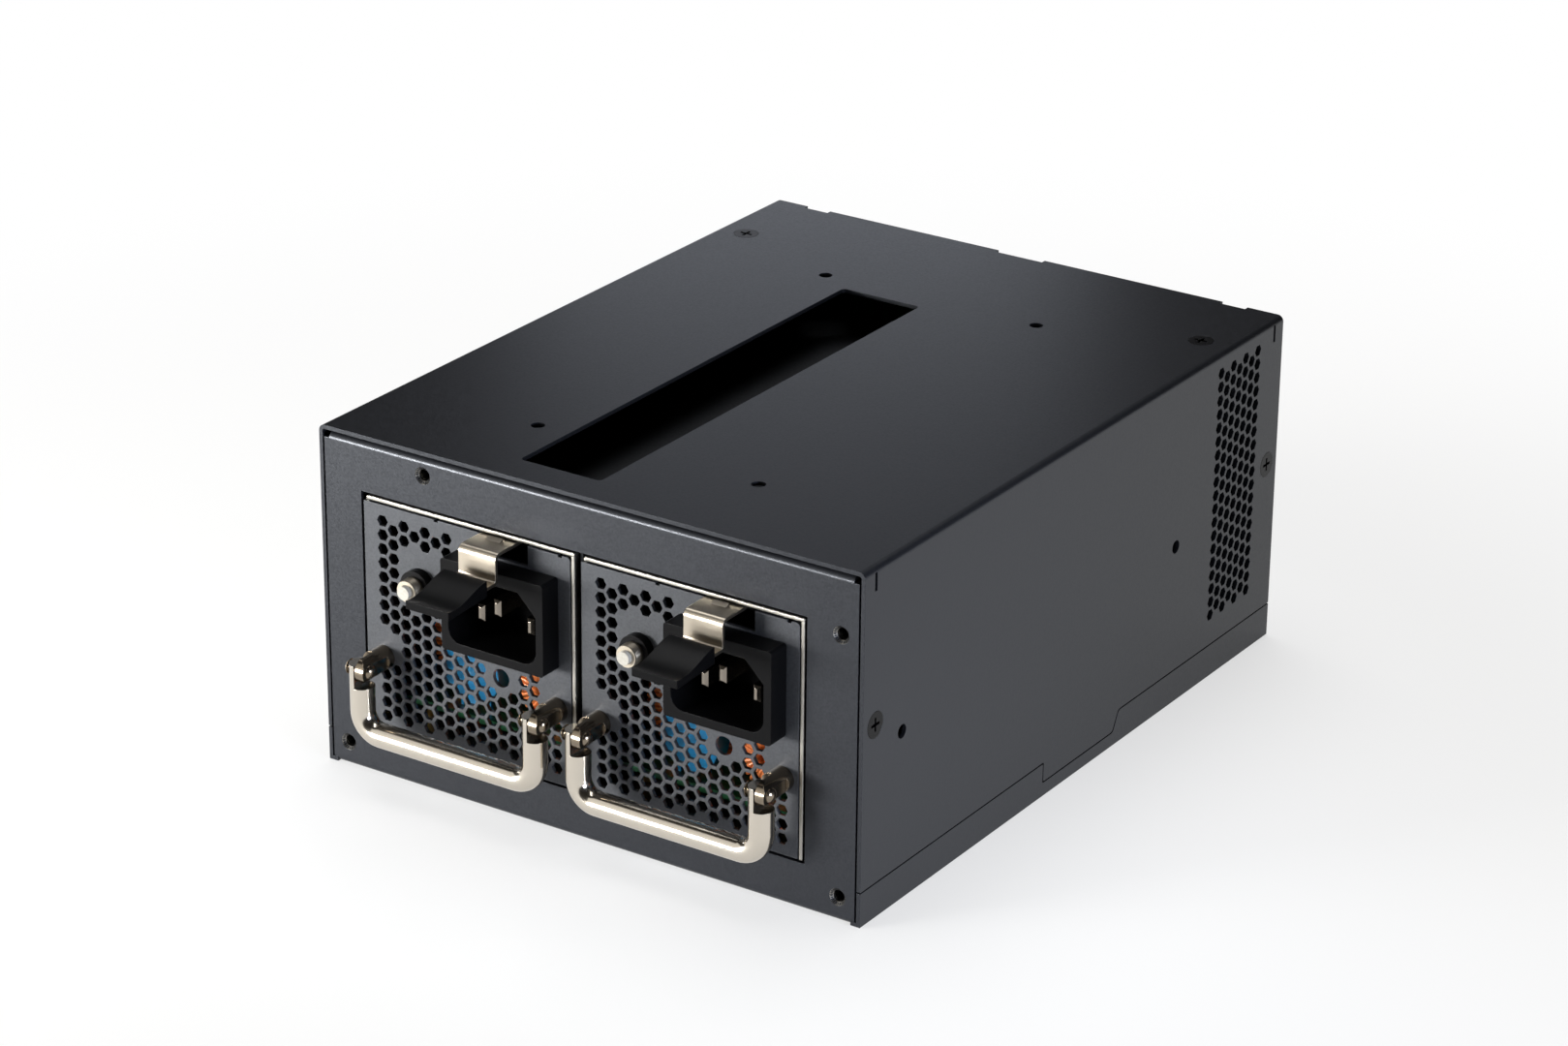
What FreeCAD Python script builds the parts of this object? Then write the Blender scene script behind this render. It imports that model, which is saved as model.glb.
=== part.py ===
import FreeCAD, Part
import math
import os

# Redundant power supply: a folded steel chassis with two hot-swap modules side by side.
# Frame: +X right, +Y from the front face to the rear, +Z up, millimetres.
# The origin is under the middle of the chassis floor.

V = FreeCAD.Vector

# Chassis: a tray (front, floor, rear) and a cover (top and sides), both folded from sheet
CASE_W = 150.0
CASE_H = 86.0
CASE_D = 190.0
SHEET_T = 1.0
BEND_R = 1.6
WALL_GAP = 0.5           # cover to the tray's folded walls
RETURN_L = 10.0          # folded-back edges of the front and rear walls
RELIEF = 1.4             # notch at the top corners of the front and rear walls
FLANGE_H = 8.4           # tray's upturned sides
SEAM_GAP = 0.35          # cover to those sides
SKIRT_FRONT = 79.0       # the cover's skirt tab, from the front face
SKIRT_REAR = 112.0
SKIRT_LOW = 3.4
SKIRT_SLOPE = 2.6
SKIRT_R = 1.5
SEAM_R = 0.4
HOOK_H = 0.6             # rear wall's hooks above its top edge, in notches of the cover
HOOK_SIDE = 13.5
HOOK_W = 6.2
HOOK_MID_W = 12.8
HOOK_GAP = 0.4

# Fixing holes of the front wall, in the pattern of the power supply format
FIX_EDGE = 6.0
FIX_RIGHT_DOWN = 16.0
FIX_LEFT_IN = 30.0
FIX_R = 1.45
FIX_MOUTH_R = 2.15
FIX_COLLAR_R = 2.5
FIX_COLLAR_L = 1.8

# Cover's slot, plain holes, locating slits and vent
SLOT_X = -12.9
SLOT_W = 22.4
SLOT_FRONT = 9.2
SLOT_L = 134.8
SLOT_R = 1.2
PLAIN_R = 1.7
TOP_HOLE_X = -2.2
TOP_HOLE_SPAN = 61.4
TOP_HOLE_FRONT = 28.0
TOP_HOLE_PITCH = 121.4
SIDE_HOLE_FRONT = 16.1
SIDE_HOLE_PITCH = 123.5
SIDE_HOLE_Z = 42.1
SLIT_W = 1.0
SLIT_H = 4.4
SLIT_IN = 4.4
SLIT_DOWN = 5.6
VENT_IN = 31.1           # first vent column, from the rear face
VENT_COLUMNS = 7
VENT_LOW = 16.9
VENT_HIGH = 80.8

# Countersunk screws of the cover
SCREW_R = 1.5
SCREW_L = 5.0
SCREW_HEAD_R = 3.2
SCREW_FIT = 0.06
CROSS_L = 3.4
CROSS_W = 0.7
CROSS_DEEP = 0.7
SIDE_SCREW_IN = 5.0
SIDE_SCREW_Z = 48.1
TOP_SCREW_SIDE = 8.5
TOP_SCREW_IN = 26.5

# Honeycomb shared by the vents
PITCH = 3.55
HOLE_AF = 2.7

# Bay: one front opening for both modules, lined by a sheet cage
BAY_LEFT = 11.9
BAY_RIGHT = 14.8
BAY_BELOW = 11.6
BAY_ABOVE = 14.0
BAY_CLEAR = 0.7
MODULE_GAP = 1.9
REAR_SPACE = 40.0        # behind the modules, for the distribution board
CAGE_T = 0.8
CAGE_FOOT = 8.0
BRACKET_L = 13.0
BRACKET_SEAT = 14.0
BRACKET_REST = 0.1

# Distribution board behind the bay
PLUG_L = 8.0             # module board's edge plug past its rear wall
PLUG_W = 40.0
PLUG_FIT = 0.4
SOCKET_WALL = 3.0
SOCKET_BASE = 3.0
BOARD_T = 1.6
BACK_BOARD_EDGE = 6.0
FILTER_R = 4.0
FILTER_L = 13.0
FILTER_COUNT = 6
FILTER_PITCH = 11.0
FILTER_DOWN = 14.0
BUZZER_R = 6.0
BUZZER_L = 8.0
BUZZER_HOLE_R = 1.2
BUZZER_SIDE = 13.0
BUZZER_UP = 24.4

# Cable outlet and air slots of the rear wall
OUTLET_SIDE = 31.0
OUTLET_Z = 46.0
OUTLET_W = 40.0
OUTLET_H = 24.0
OUTLET_R = 8.0
GROMMET_WALL = 1.6
GROMMET_LIP = 2.4
GROMMET_LIP_T = 1.8
AIR_SLOT_W = 3.2
AIR_SLOT_H = 22.0
AIR_SLOT_PITCH = 6.4
AIR_SLOT_COUNT = 12
AIR_SLOT_SIDE = 45.0
AIR_SLOT_Z = 46.0

# Module's sheet metal
MODULE_T = 0.8
PANEL_T = 1.0
PANEL_SIDE = 1.2         # panel's right edge from the module's right side
PANEL_DOWN = 1.4         # panel's top edge from the module's top
PANEL_R = 1.0
NOTCH_W = 1.1            # bend reliefs in the panel's top edge
NOTCH_H = 0.5
NOTCH_LEFT = 20.9
NOTCH_RIGHT = 4.0
LID_SIDE = 1.1
LID_TAB = 8.0
LID_TAB_IN = 12.0
LID_SCREW_R = 1.25
LID_SCREW_HEAD_R = 2.05
LID_SCREW_L = 4.0

# Module panel's holes
HOLE_SIDE = 5.36
HOLE_TOP = 5.4
HOLE_LOW = 3.5
HOLE_WEB = 1.2
CAPTION_TOP = 9.8        # bare field beside the button
CAPTION_LOW = 16.5
CAPTION_LEFT = 6.0
BUTTON_BARE = 3.0
INDICATOR_X = 8.9
INDICATOR_DOWN = 36.5
INDICATOR_R = 2.3
INDICATOR_BARE = 2.5
POST_BARE_X = 4.2
POST_BARE_ABOVE = 7.0
POST_BARE_BELOW = 2.5

# Mains inlet, three flat blades in a moulded shroud
INLET_X = 11.0
INLET_DOWN = 7.0
INLET_W = 28.8
INLET_H = 22.8
INLET_OUT = 6.0
INLET_EDGE_R = 0.8
INLET_BODY_W = 27.0
INLET_BODY_H = 20.0
INLET_FLOOR = 2.0
CAVITY_W = 24.8
CAVITY_H = 17.2
CAVITY_DROP = 0.5
CAVITY_CHAMFER = 5.0
CAVITY_R = 3.5
CAVITY_DEEP = 17.0
BLADE_SPREAD = 7.0
BLADE_RISE = 2.0
BLADE_T = 2.0
BLADE_H = 4.0
LINE_OUT = 1.1
EARTH_OUT = 4.2

# Reset push switch
BUTTON_X = -14.05
BUTTON_DOWN = 18.7
NUT_R = 4.0
NUT_T = 2.3
BUSH_R = 2.6
BUSH_OUT = 5.3
BUSH_FIT = 0.1
SWITCH_SIZE = 8.0
SWITCH_L = 7.0
PLUNGER_R = 1.65
PLUNGER_FIT = 0.05
PLUNGER_OUT = 6.5
PLUNGER_IN = 2.0
PLUNGER_TRAVEL = 1.2

# Pull handle: a bent wire riveted to two posts
POST_LEFT = 4.9          # from the module's sides
POST_RIGHT = 5.3
HANDLE_DROP = 15.6
HANDLE_BEND = 5.4
PIVOT_BELOW = 10.2       # pivot under the inlet
PIVOT_OUT = 8.5
WIRE_R = 3.0
WIRE_END = 1.7           # wire's flat end above the pivot
POST_R = 3.0
POST_GAP = 1.0
LUG_W = 2.4
LUG_FLAT = 6.5           # lug's outer flat behind the pivot
SIDE_GAP = 0.3
LAP_GAP = 1.0
PIN_R = 1.3
PIN_FIT = 0.05
RIVET_R = 1.85
RIVET_T = 1.1

# Latch: a spring strip with a moulded thumb tab
LATCH_X = 9.0
STRIP_W = 10.4
STRIP_T = 0.8
STRIP_GAP = 0.4
STRIP_OUT = 8.5
STRIP_ROOT = 20.0
STRIP_DROP = 6.9
STRIP_BEND = 1.6
LIP_BEND = 1.4
LIP_OUT = 14.0
LANCE_W = 4.0
LANCE_L = 2.4
LANCE_H = 0.6
LANCE_OUT = 1.2
WINDOW_W = 13.6
WINDOW_H = 5.0
WINDOW_GAP = 0.4
TAB_W = 12.0
TAB_BACK = 12.7
TAB_FRONT = 27.0
TAB_RISE = 2.3
TAB_DIP = 0.3
TAB_UNDER = 1.7
TAB_NOSE = 2.0
TAB_SHOULDER = (4.0, 0.8)
TAB_WAIST = (8.3, 0.4)

# Inside a module
STANDOFF_H = 4.2
STANDOFF_R = 2.4
STANDOFF_IN = 6.0
BOARD_SIDE = 3.0
BOARD_FRONT = 7.0
BOARD_REAR = 2.0
PLUG_SLOT_GAP = 1.0
VARISTOR_X = -6.4
VARISTOR_IN = 8.5
VARISTOR_R = 8.0
VARISTOR_T = 4.5
VARISTOR_LEAD = 2.0
LEAD_T = 0.8
# Each choke: middle, front behind the panel, radius, bore radius, thickness
CHOKES = (
    (-10.5, 15.0, 13.0, 6.8, 11.0),
    (12.5, 12.0, 8.8, 2.5, 8.0),
)
BULK_X = 11.0
BULK_IN = 38.0
BULK_R = 11.0
BULK_H = 36.0
CORE_W = 26.0
CORE_L = 24.0
CORE_H = 27.0
CORE_WINDOW = 5.0
CORE_IN = 66.0
SINK_X = 23.0
SINK_H = 38.0
SINK_T = 3.0
SINK_FIN = 5.0
SINK_FIN_T = 1.2
SINK_FINS = 5
SINK_FRONT = 54.0
SINK_FAN_GAP = 6.0
FAN_SIZE = 40.0
FAN_T = 20.0
FAN_R = 2.5
FAN_BORE_R = 18.8
FAN_TOP_GAP = 0.4
FAN_STRUT = 2.4
FAN_STRUT_T = 2.0
FAN_STRUT_LAP = 0.5
FAN_BOSS_R = 8.0
FAN_BLADES = 7
FAN_TIP_GAP = 0.8
FAN_HUB_R = 8.4
FAN_HUB_GAP = 0.5
FAN_SHAFT_R = 1.5
FAN_SHAFT_FIT = 0.05
FAN_BLADE_T = 0.9
FAN_BLADE_PITCH = 38.0
GUARD_R = 19.2

# Planes and sizes worked out from those
FRONT = -CASE_D / 2
REAR = CASE_D / 2
SIDE = CASE_W / 2
INNER_X = SIDE - SHEET_T
WALL_X = INNER_X - WALL_GAP
WALL_TOP = CASE_H - SHEET_T - WALL_GAP
INNER_TOP = CASE_H - SHEET_T
BAY_X0 = BAY_LEFT - SIDE
BAY_X1 = SIDE - BAY_RIGHT
BAY_Z1 = CASE_H - BAY_ABOVE
MODULE_W = (BAY_X1 - BAY_X0 - MODULE_GAP) / 2 - BAY_CLEAR
MODULE_L = CASE_D - REAR_SPACE
LOW = BAY_BELOW + BAY_CLEAR
HIGH = BAY_Z1 - BAY_CLEAR
HALF = MODULE_W / 2
MODULE_X = {"left": BAY_X0 + BAY_CLEAR + HALF, "right": BAY_X1 - BAY_CLEAR - HALF}
MODULE_REAR = FRONT + MODULE_L
BEHIND_PANEL = FRONT + PANEL_T
LID_Z = HIGH - MODULE_T
PANEL_TOP = HIGH - PANEL_DOWN
BOARD_Z = LOW + MODULE_T + STANDOFF_H
BOARD_TOP = BOARD_Z + BOARD_T
BACK_BOARD_Y = MODULE_REAR + PLUG_L + PLUG_FIT + SOCKET_BASE
BUZZER_X = BAY_X1 + CAGE_T - BUZZER_SIDE
BUZZER_Z = BAY_BELOW - BACK_BOARD_EDGE + BUZZER_UP
OUTLET_X = OUTLET_SIDE - SIDE
AIR_SLOT_X = SIDE - AIR_SLOT_SIDE
INLET_TOP = HIGH - INLET_DOWN
INLET_LOW = INLET_TOP - INLET_H
INLET_Z = INLET_TOP - INLET_H / 2
CAVITY_Z = INLET_Z - CAVITY_DROP
PIVOT_Z = INLET_LOW - PIVOT_BELOW
PIVOT_Y = FRONT - PIVOT_OUT
POST_X = (POST_LEFT - HALF, HALF - POST_RIGHT)
BUTTON_Z = HIGH - BUTTON_DOWN
INDICATOR_Z = HIGH - INDICATOR_DOWN
STRIP_Z = LID_Z - STRIP_GAP
LIP_Z = STRIP_Z - STRIP_DROP
FAN_Y1 = MODULE_REAR - MODULE_T
FAN_Y0 = FAN_Y1 - FAN_T
FAN_Z = LID_Z - FAN_TOP_GAP - FAN_SIZE / 2


def block(x0, x1, y0, y1, z0, z1):
    """Rectangular solid between two corners."""
    return Part.makeBox(x1 - x0, y1 - y0, z1 - z0, V(x0, y0, z0))


def rod(radius, start, end):
    """Round bar from one point to another."""
    way = end.sub(start)
    return Part.makeCylinder(radius, way.Length, start, way)


def join(shapes):
    """One solid from overlapping or touching shapes, without the seams between them."""
    return shapes[0].fuse(shapes[1:]).removeSplitter()


def group(solids):
    """Separate solids that share one node."""
    return Part.makeCompound(solids)


def in_xz(y):
    """Lays (u, v) in the plane at this y, u to the right and v up."""
    return lambda u, v: V(u, y, v)


def in_yz(x):
    """Lays (u, v) in the plane at this x, u to the rear and v up."""
    return lambda u, v: V(x, u, v)


def outline(corners, place):
    """Closed wire through corners (u, v) or (u, v, radius), each rounded by its radius."""
    points = [V(c[0], c[1], 0) for c in corners]
    edges = []
    last = None
    first = None
    for i, corner in enumerate(corners):
        point = points[i]
        radius = corner[2] if len(corner) > 2 else 0.0
        enter = point
        leave = point
        if radius > 0:
            back = points[i - 1].sub(point).normalize()
            ahead = points[(i + 1) % len(points)].sub(point).normalize()
            half_turn = back.getAngle(ahead) / 2
            reach = radius / math.tan(half_turn)
            enter = point + back * reach
            leave = point + ahead * reach
            middle = (back + ahead).normalize()
            crest = point + middle * (radius / math.sin(half_turn) - radius)
        if last is not None and last.distanceToPoint(enter) > 1e-6:
            edges.append(Part.LineSegment(place(last.x, last.y), place(enter.x, enter.y)).toShape())
        if radius > 0:
            arc = Part.Arc(place(enter.x, enter.y), place(crest.x, crest.y), place(leave.x, leave.y))
            edges.append(arc.toShape())
        first = enter if first is None else first
        last = leave
    if last.distanceToPoint(first) > 1e-6:
        edges.append(Part.LineSegment(place(last.x, last.y), place(first.x, first.y)).toShape())
    return Part.Wire(edges)


def slab(corners, place, way):
    """Rounded outline pushed along a vector."""
    return Part.Face(outline(corners, place)).extrude(way)


def rectangle(u0, u1, v0, v1, radius=0.0):
    """Corners of a rectangle for outline and slab."""
    return [(u0, v0, radius), (u1, v0, radius), (u1, v1, radius), (u0, v1, radius)]


def hexagon(u, v):
    """Corners of one honeycomb hole, flat above and below."""
    reach = HOLE_AF / math.sqrt(3)
    turns = [math.radians(60 * i) for i in range(6)]
    return [(u + reach * math.cos(a), v + reach * math.sin(a)) for a in turns]


def honeycomb(u0, u1, v_low, v_high):
    """Hole centres in columns from u0 to u1; every second column is half a pitch lower."""
    step = PITCH * math.sqrt(3) / 2
    centres = []
    for column in range(int((u1 - u0) / step + 1e-6) + 1):
        top = v_high - (PITCH / 2 if column % 2 else 0.0)
        for row in range(int((top - v_low) / PITCH + 1e-6) + 1):
            centres.append((u0 + column * step, top - row * PITCH))
    return centres


def turned(shape, point, way):
    """Shape drawn along -Z from the origin, set at a point and turned to face along way."""
    shape.Placement = FreeCAD.Placement(point, FreeCAD.Rotation(V(0, 0, -1), way))
    return shape


def cone_head(head_r, shank_r, taper, length, grow=0.0):
    """Countersunk screw's outside, head at the origin and shank along -Z."""
    head = Part.makeCone(head_r + grow, shank_r + grow, taper, V(0, 0, 0), V(0, 0, -1))
    return head.fuse(Part.makeCylinder(shank_r + grow, length, V(0, 0, 0), V(0, 0, -1))).removeSplitter()


def cover_screw():
    """Countersunk screw with a cross recess."""
    half = CROSS_L / 2
    width = CROSS_W / 2
    recess = block(-half, half, -width, width, -CROSS_DEEP, CROSS_DEEP)
    recess = recess.fuse(block(-width, width, -half, half, -CROSS_DEEP, CROSS_DEEP))
    return cone_head(SCREW_HEAD_R, SCREW_R, SCREW_HEAD_R - SCREW_R, SCREW_L).cut(recess)


def screw_places():
    """Where the cover's screws sit and which way they go in."""
    places = []
    for side in (-1, 1):
        for y in (FRONT + SIDE_SCREW_IN, REAR - SIDE_SCREW_IN):
            places.append((V(side * SIDE, y, SIDE_SCREW_Z), V(-side, 0, 0)))
        places.append((V(side * (SIDE - TOP_SCREW_SIDE), REAR - TOP_SCREW_IN, CASE_H), V(0, 0, -1)))
    return places


def screw_cuts():
    """Clearance for every cover screw, as one tool."""
    head = SCREW_HEAD_R - SCREW_R
    tools = []
    for point, way in screw_places():
        tools.append(turned(cone_head(SCREW_HEAD_R, SCREW_R, head, SCREW_L, SCREW_FIT), point, way))
    return group(tools)


def seam(gap):
    """Line between tray and cover along one side, from front to rear, raised by a gap."""
    low = SKIRT_LOW + gap
    high = FLANGE_H + gap
    return [
        (FRONT, high),
        (FRONT + SKIRT_FRONT + gap, high, SEAM_R),
        (FRONT + SKIRT_FRONT + gap, low, SEAM_R),
        (FRONT + SKIRT_REAR - gap, low, SKIRT_R),
        (FRONT + SKIRT_REAR + SKIRT_SLOPE - gap, high, SKIRT_R),
        (REAR, high),
    ]


def hooks(gap, y0, z0, z1):
    """Blocks at the three hooks of the rear wall, widened by a gap."""
    shapes = []
    outer = SIDE - HOOK_SIDE
    for x, width in ((-outer, HOOK_W), (0.0, HOOK_MID_W), (outer, HOOK_W)):
        shapes.append(block(x - width / 2 - gap, x + width / 2 + gap, y0, REAR, z0, z1))
    return shapes


def fixing_holes():
    """Places of the front wall's four tapped holes."""
    return [
        (FIX_EDGE - SIDE, FIX_EDGE),
        (SIDE - FIX_EDGE, FIX_EDGE),
        (SIDE - FIX_EDGE, CASE_H - FIX_RIGHT_DOWN),
        (FIX_LEFT_IN - SIDE, CASE_H - FIX_EDGE),
    ]


def chassis_tray():
    """Front wall, floor and rear wall in one folded strip, with side flanges and folded-back edges."""
    inner_r = BEND_R - SHEET_T
    back = RETURN_L
    front_in = FRONT + SHEET_T
    rear_in = REAR - SHEET_T
    under = WALL_TOP - SHEET_T
    section = [
        (FRONT, 0, BEND_R), (REAR, 0, BEND_R), (REAR, WALL_TOP, BEND_R), (REAR - back, WALL_TOP),
        (REAR - back, under), (rear_in, under, inner_r), (rear_in, SHEET_T, inner_r),
        (front_in, SHEET_T, inner_r), (front_in, under, inner_r), (FRONT + back, under),
        (FRONT + back, WALL_TOP), (FRONT, WALL_TOP, BEND_R),
    ]
    pieces = [slab(section, in_yz(-WALL_X), V(2 * WALL_X, 0, 0))]
    flange = [(FRONT, 0), (REAR, 0)] + seam(0.0)[::-1]
    for side in (-1, 1):
        outer = side * SIDE
        inner = side * INNER_X
        pieces.append(slab(flange, in_yz(min(outer, inner)), V(SHEET_T, 0, 0)))
        pieces.append(block(*sorted((inner, side * (WALL_X - SHEET_T))), FRONT, REAR, 0, SHEET_T))
        edge = sorted((side * WALL_X, side * (WALL_X - SHEET_T)))
        for y0, y1 in ((front_in, FRONT + back), (REAR - back, rear_in)):
            pieces.append(block(*edge, y0, y1, SHEET_T, WALL_TOP - RELIEF))
    pieces += hooks(0.0, rear_in, under, WALL_TOP + HOOK_H)
    for x, z in fixing_holes():
        pieces.append(rod(FIX_COLLAR_R, V(x, FRONT, z), V(x, front_in + FIX_COLLAR_L, z)))
    tray = join(pieces)
    cuts = [block(BAY_X0, BAY_X1, FRONT - 1, front_in + 1, BAY_BELOW, BAY_Z1)]
    for side in (-1, 1):
        corner = sorted((side * WALL_X, side * (WALL_X - RELIEF)))
        for y0, y1 in ((FRONT - 1, FRONT + back + 1), (REAR - back - 1, REAR + 1)):
            cuts.append(block(*corner, y0, y1, WALL_TOP - RELIEF, WALL_TOP + HOOK_H))
    taper = FIX_MOUTH_R - FIX_R
    for x, z in fixing_holes():
        cuts.append(rod(FIX_R, V(x, FRONT - 1, z), V(x, front_in + FIX_COLLAR_L + 1, z)))
        cuts.append(Part.makeCone(FIX_MOUTH_R, FIX_R, taper, V(x, FRONT, z), V(0, 1, 0)))
    cuts.append(slab(outlet_shape(0.0), in_xz(rear_in - 1), V(0, SHEET_T + 2, 0)))
    for i in range(AIR_SLOT_COUNT):
        x = AIR_SLOT_X + (i - (AIR_SLOT_COUNT - 1) / 2) * AIR_SLOT_PITCH
        half = AIR_SLOT_W / 2
        cuts.append(block(x - half, x + half, rear_in - 1, REAR + 1,
                          AIR_SLOT_Z - AIR_SLOT_H / 2, AIR_SLOT_Z + AIR_SLOT_H / 2))
    return tray.cut(group(cuts)).cut(screw_cuts())


def top_cover():
    """Top and both sides folded from one sheet, with its slot, holes and side vent."""
    inner_r = BEND_R - SHEET_T
    section = [
        (-SIDE, 0), (-SIDE, CASE_H, BEND_R), (SIDE, CASE_H, BEND_R), (SIDE, 0),
        (INNER_X, 0), (INNER_X, INNER_TOP, inner_r), (-INNER_X, INNER_TOP, inner_r), (-INNER_X, 0),
    ]
    cover = slab(section, in_xz(FRONT), V(0, CASE_D, 0))
    below = [(FRONT - 1, -1), (REAR + 1, -1), (REAR + 1, FLANGE_H + SEAM_GAP)]
    below += seam(SEAM_GAP)[-2:0:-1] + [(FRONT - 1, FLANGE_H + SEAM_GAP)]
    cuts = [slab(below, in_yz(-SIDE - 1), V(CASE_W + 2, 0, 0))]
    cuts += hooks(HOOK_GAP, REAR - SHEET_T - HOOK_GAP, INNER_TOP - BEND_R, CASE_H + 1)
    slot = rectangle(SLOT_X - SLOT_W / 2, SLOT_X + SLOT_W / 2,
                     FRONT + SLOT_FRONT, FRONT + SLOT_FRONT + SLOT_L, SLOT_R)
    cuts.append(slab(slot, lambda u, v: V(u, v, INNER_TOP - 1), V(0, 0, SHEET_T + 2)))
    for x in (TOP_HOLE_X - TOP_HOLE_SPAN / 2, TOP_HOLE_X + TOP_HOLE_SPAN / 2):
        for y in (FRONT + TOP_HOLE_FRONT, FRONT + TOP_HOLE_FRONT + TOP_HOLE_PITCH):
            cuts.append(rod(PLAIN_R, V(x, y, INNER_TOP - 1), V(x, y, CASE_H + 1)))
    for y in (FRONT + SIDE_HOLE_FRONT, FRONT + SIDE_HOLE_FRONT + SIDE_HOLE_PITCH):
        cuts.append(rod(PLAIN_R, V(INNER_X - 1, y, SIDE_HOLE_Z), V(SIDE + 1, y, SIDE_HOLE_Z)))
    slit_z = CASE_H - SLIT_DOWN
    for side in (-1, 1):
        span = sorted((side * (INNER_X - 1), side * (SIDE + 1)))
        for y in (FRONT + SLIT_IN, REAR - SLIT_IN):
            cuts.append(block(*span, y - SLIT_W / 2, y + SLIT_W / 2, slit_z, slit_z + SLIT_H))
    step = PITCH * math.sqrt(3) / 2
    first = REAR - VENT_IN
    for y, z in honeycomb(first, first + (VENT_COLUMNS - 1) * step, VENT_LOW - PITCH / 4, VENT_HIGH):
        cuts.append(slab(hexagon(y, z), in_yz(INNER_X - 1), V(SHEET_T + 2, 0, 0)))
    return cover.cut(group(cuts)).cut(screw_cuts())


def cover_screws():
    """The six countersunk screws that hold the cover."""
    return group([turned(cover_screw(), point, way) for point, way in screw_places()])


def cover_brackets():
    """Two angles on the cage's sides that take the cover's top screws."""
    y0 = REAR - TOP_SCREW_IN - BRACKET_L / 2
    top = INNER_TOP - BRACKET_REST
    low = BAY_Z1 + CAGE_T - BRACKET_SEAT
    pieces = []
    for side, wall in ((-1, BAY_X0 - CAGE_T), (1, BAY_X1 + CAGE_T)):
        tip = side * (SIDE - TOP_SCREW_SIDE + BRACKET_L / 4)
        leg = sorted((wall, wall + side * CAGE_T))
        shelf = sorted((wall, tip))
        angle = join([block(*leg, y0, y0 + BRACKET_L, low, top),
                      block(*shelf, y0, y0 + BRACKET_L, top - CAGE_T, top)])
        pieces.append(angle.cut(screw_cuts()))
    return group(pieces)


def bay_cage():
    """Sheet lining of the bay: roof, floor, middle wall and two side walls that stand on the tray."""
    y0 = FRONT + BEND_R
    y1 = BACK_BOARD_Y
    roof = BAY_Z1 + CAGE_T
    left = BAY_X0 - CAGE_T
    right = BAY_X1 + CAGE_T
    middle = (BAY_X0 + BAY_X1) / 2
    pieces = [
        block(left, right, y0, y1, BAY_Z1, roof),
        block(left, right, y0, y1, BAY_BELOW - CAGE_T, BAY_BELOW),
        block(left, BAY_X0, y0, y1, SHEET_T, roof),
        block(BAY_X1, right, y0, y1, SHEET_T, roof),
        block(middle - CAGE_T / 2, middle + CAGE_T / 2, y0, y1, BAY_BELOW, BAY_Z1),
        block(left - CAGE_FOOT, left, y0 + RETURN_L, y1, SHEET_T, SHEET_T + CAGE_T),
        block(right, right + CAGE_FOOT, y0 + RETURN_L, y1, SHEET_T, SHEET_T + CAGE_T),
    ]
    return join(pieces)


def back_board():
    """Distribution board closing the rear of the bay."""
    edge = BACK_BOARD_EDGE
    return block(BAY_X0 - CAGE_T, BAY_X1 + CAGE_T, BACK_BOARD_Y, BACK_BOARD_Y + BOARD_T,
                 BAY_BELOW - edge, BAY_Z1 + edge)


def back_sockets():
    """Sockets on the distribution board, one for each module's edge plug."""
    sockets = []
    for x in MODULE_X.values():
        half = PLUG_W / 2 + PLUG_FIT
        y0 = MODULE_REAR + PLUG_FIT
        body = block(x - half - SOCKET_WALL, x + half + SOCKET_WALL, y0, BACK_BOARD_Y,
                     BOARD_Z - PLUG_FIT - SOCKET_WALL, BOARD_TOP + PLUG_FIT + SOCKET_WALL)
        slot = block(x - half, x + half, y0 - 1, BACK_BOARD_Y - SOCKET_BASE,
                     BOARD_Z - PLUG_FIT, BOARD_TOP + PLUG_FIT)
        sockets.append(body.cut(slot))
    return group(sockets)


def back_capacitors():
    """Row of output capacitors standing on the rear of the distribution board."""
    y0 = BACK_BOARD_Y + BOARD_T
    z = BAY_Z1 - FILTER_DOWN
    middle = (BAY_X0 + BAY_X1) / 2
    cans = []
    for i in range(FILTER_COUNT):
        x = middle + (i - (FILTER_COUNT - 1) / 2) * FILTER_PITCH
        cans.append(rod(FILTER_R, V(x, y0, z), V(x, y0 + FILTER_L, z)))
    return group(cans)


def buzzer():
    """Round alarm buzzer on the distribution board."""
    y0 = BACK_BOARD_Y + BOARD_T
    can = rod(BUZZER_R, V(BUZZER_X, y0, BUZZER_Z), V(BUZZER_X, y0 + BUZZER_L, BUZZER_Z))
    return can.cut(rod(BUZZER_HOLE_R, V(BUZZER_X, y0 + BUZZER_L / 2, BUZZER_Z),
                       V(BUZZER_X, y0 + BUZZER_L + 1, BUZZER_Z)))


def outlet_shape(grow):
    """Corners of the rear cable outlet, grown on every side."""
    return rectangle(OUTLET_X - OUTLET_W / 2 - grow, OUTLET_X + OUTLET_W / 2 + grow,
                     OUTLET_Z - OUTLET_H / 2 - grow, OUTLET_Z + OUTLET_H / 2 + grow, OUTLET_R + grow)


def outlet_grommet():
    """Moulded edging of the cable outlet, with a lip inside and outside the rear wall."""
    inside = REAR - SHEET_T
    lips = [
        slab(outlet_shape(GROMMET_LIP), in_xz(inside - GROMMET_LIP_T), V(0, GROMMET_LIP_T, 0)),
        slab(outlet_shape(0.0), in_xz(inside), V(0, SHEET_T, 0)),
    ]
    ring = join(lips)
    return ring.cut(slab(outlet_shape(-GROMMET_WALL), in_xz(inside - GROMMET_LIP_T - 1),
                         V(0, GROMMET_LIP_T + SHEET_T + 2, 0)))


def lid_tabs():
    """Places of the lid's four screws."""
    x = HALF - MODULE_T - LID_TAB / 2
    return [(sx * x, y) for sx in (-1, 1) for y in (FRONT + LID_TAB_IN, MODULE_REAR - LID_TAB_IN - FAN_T)]


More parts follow.
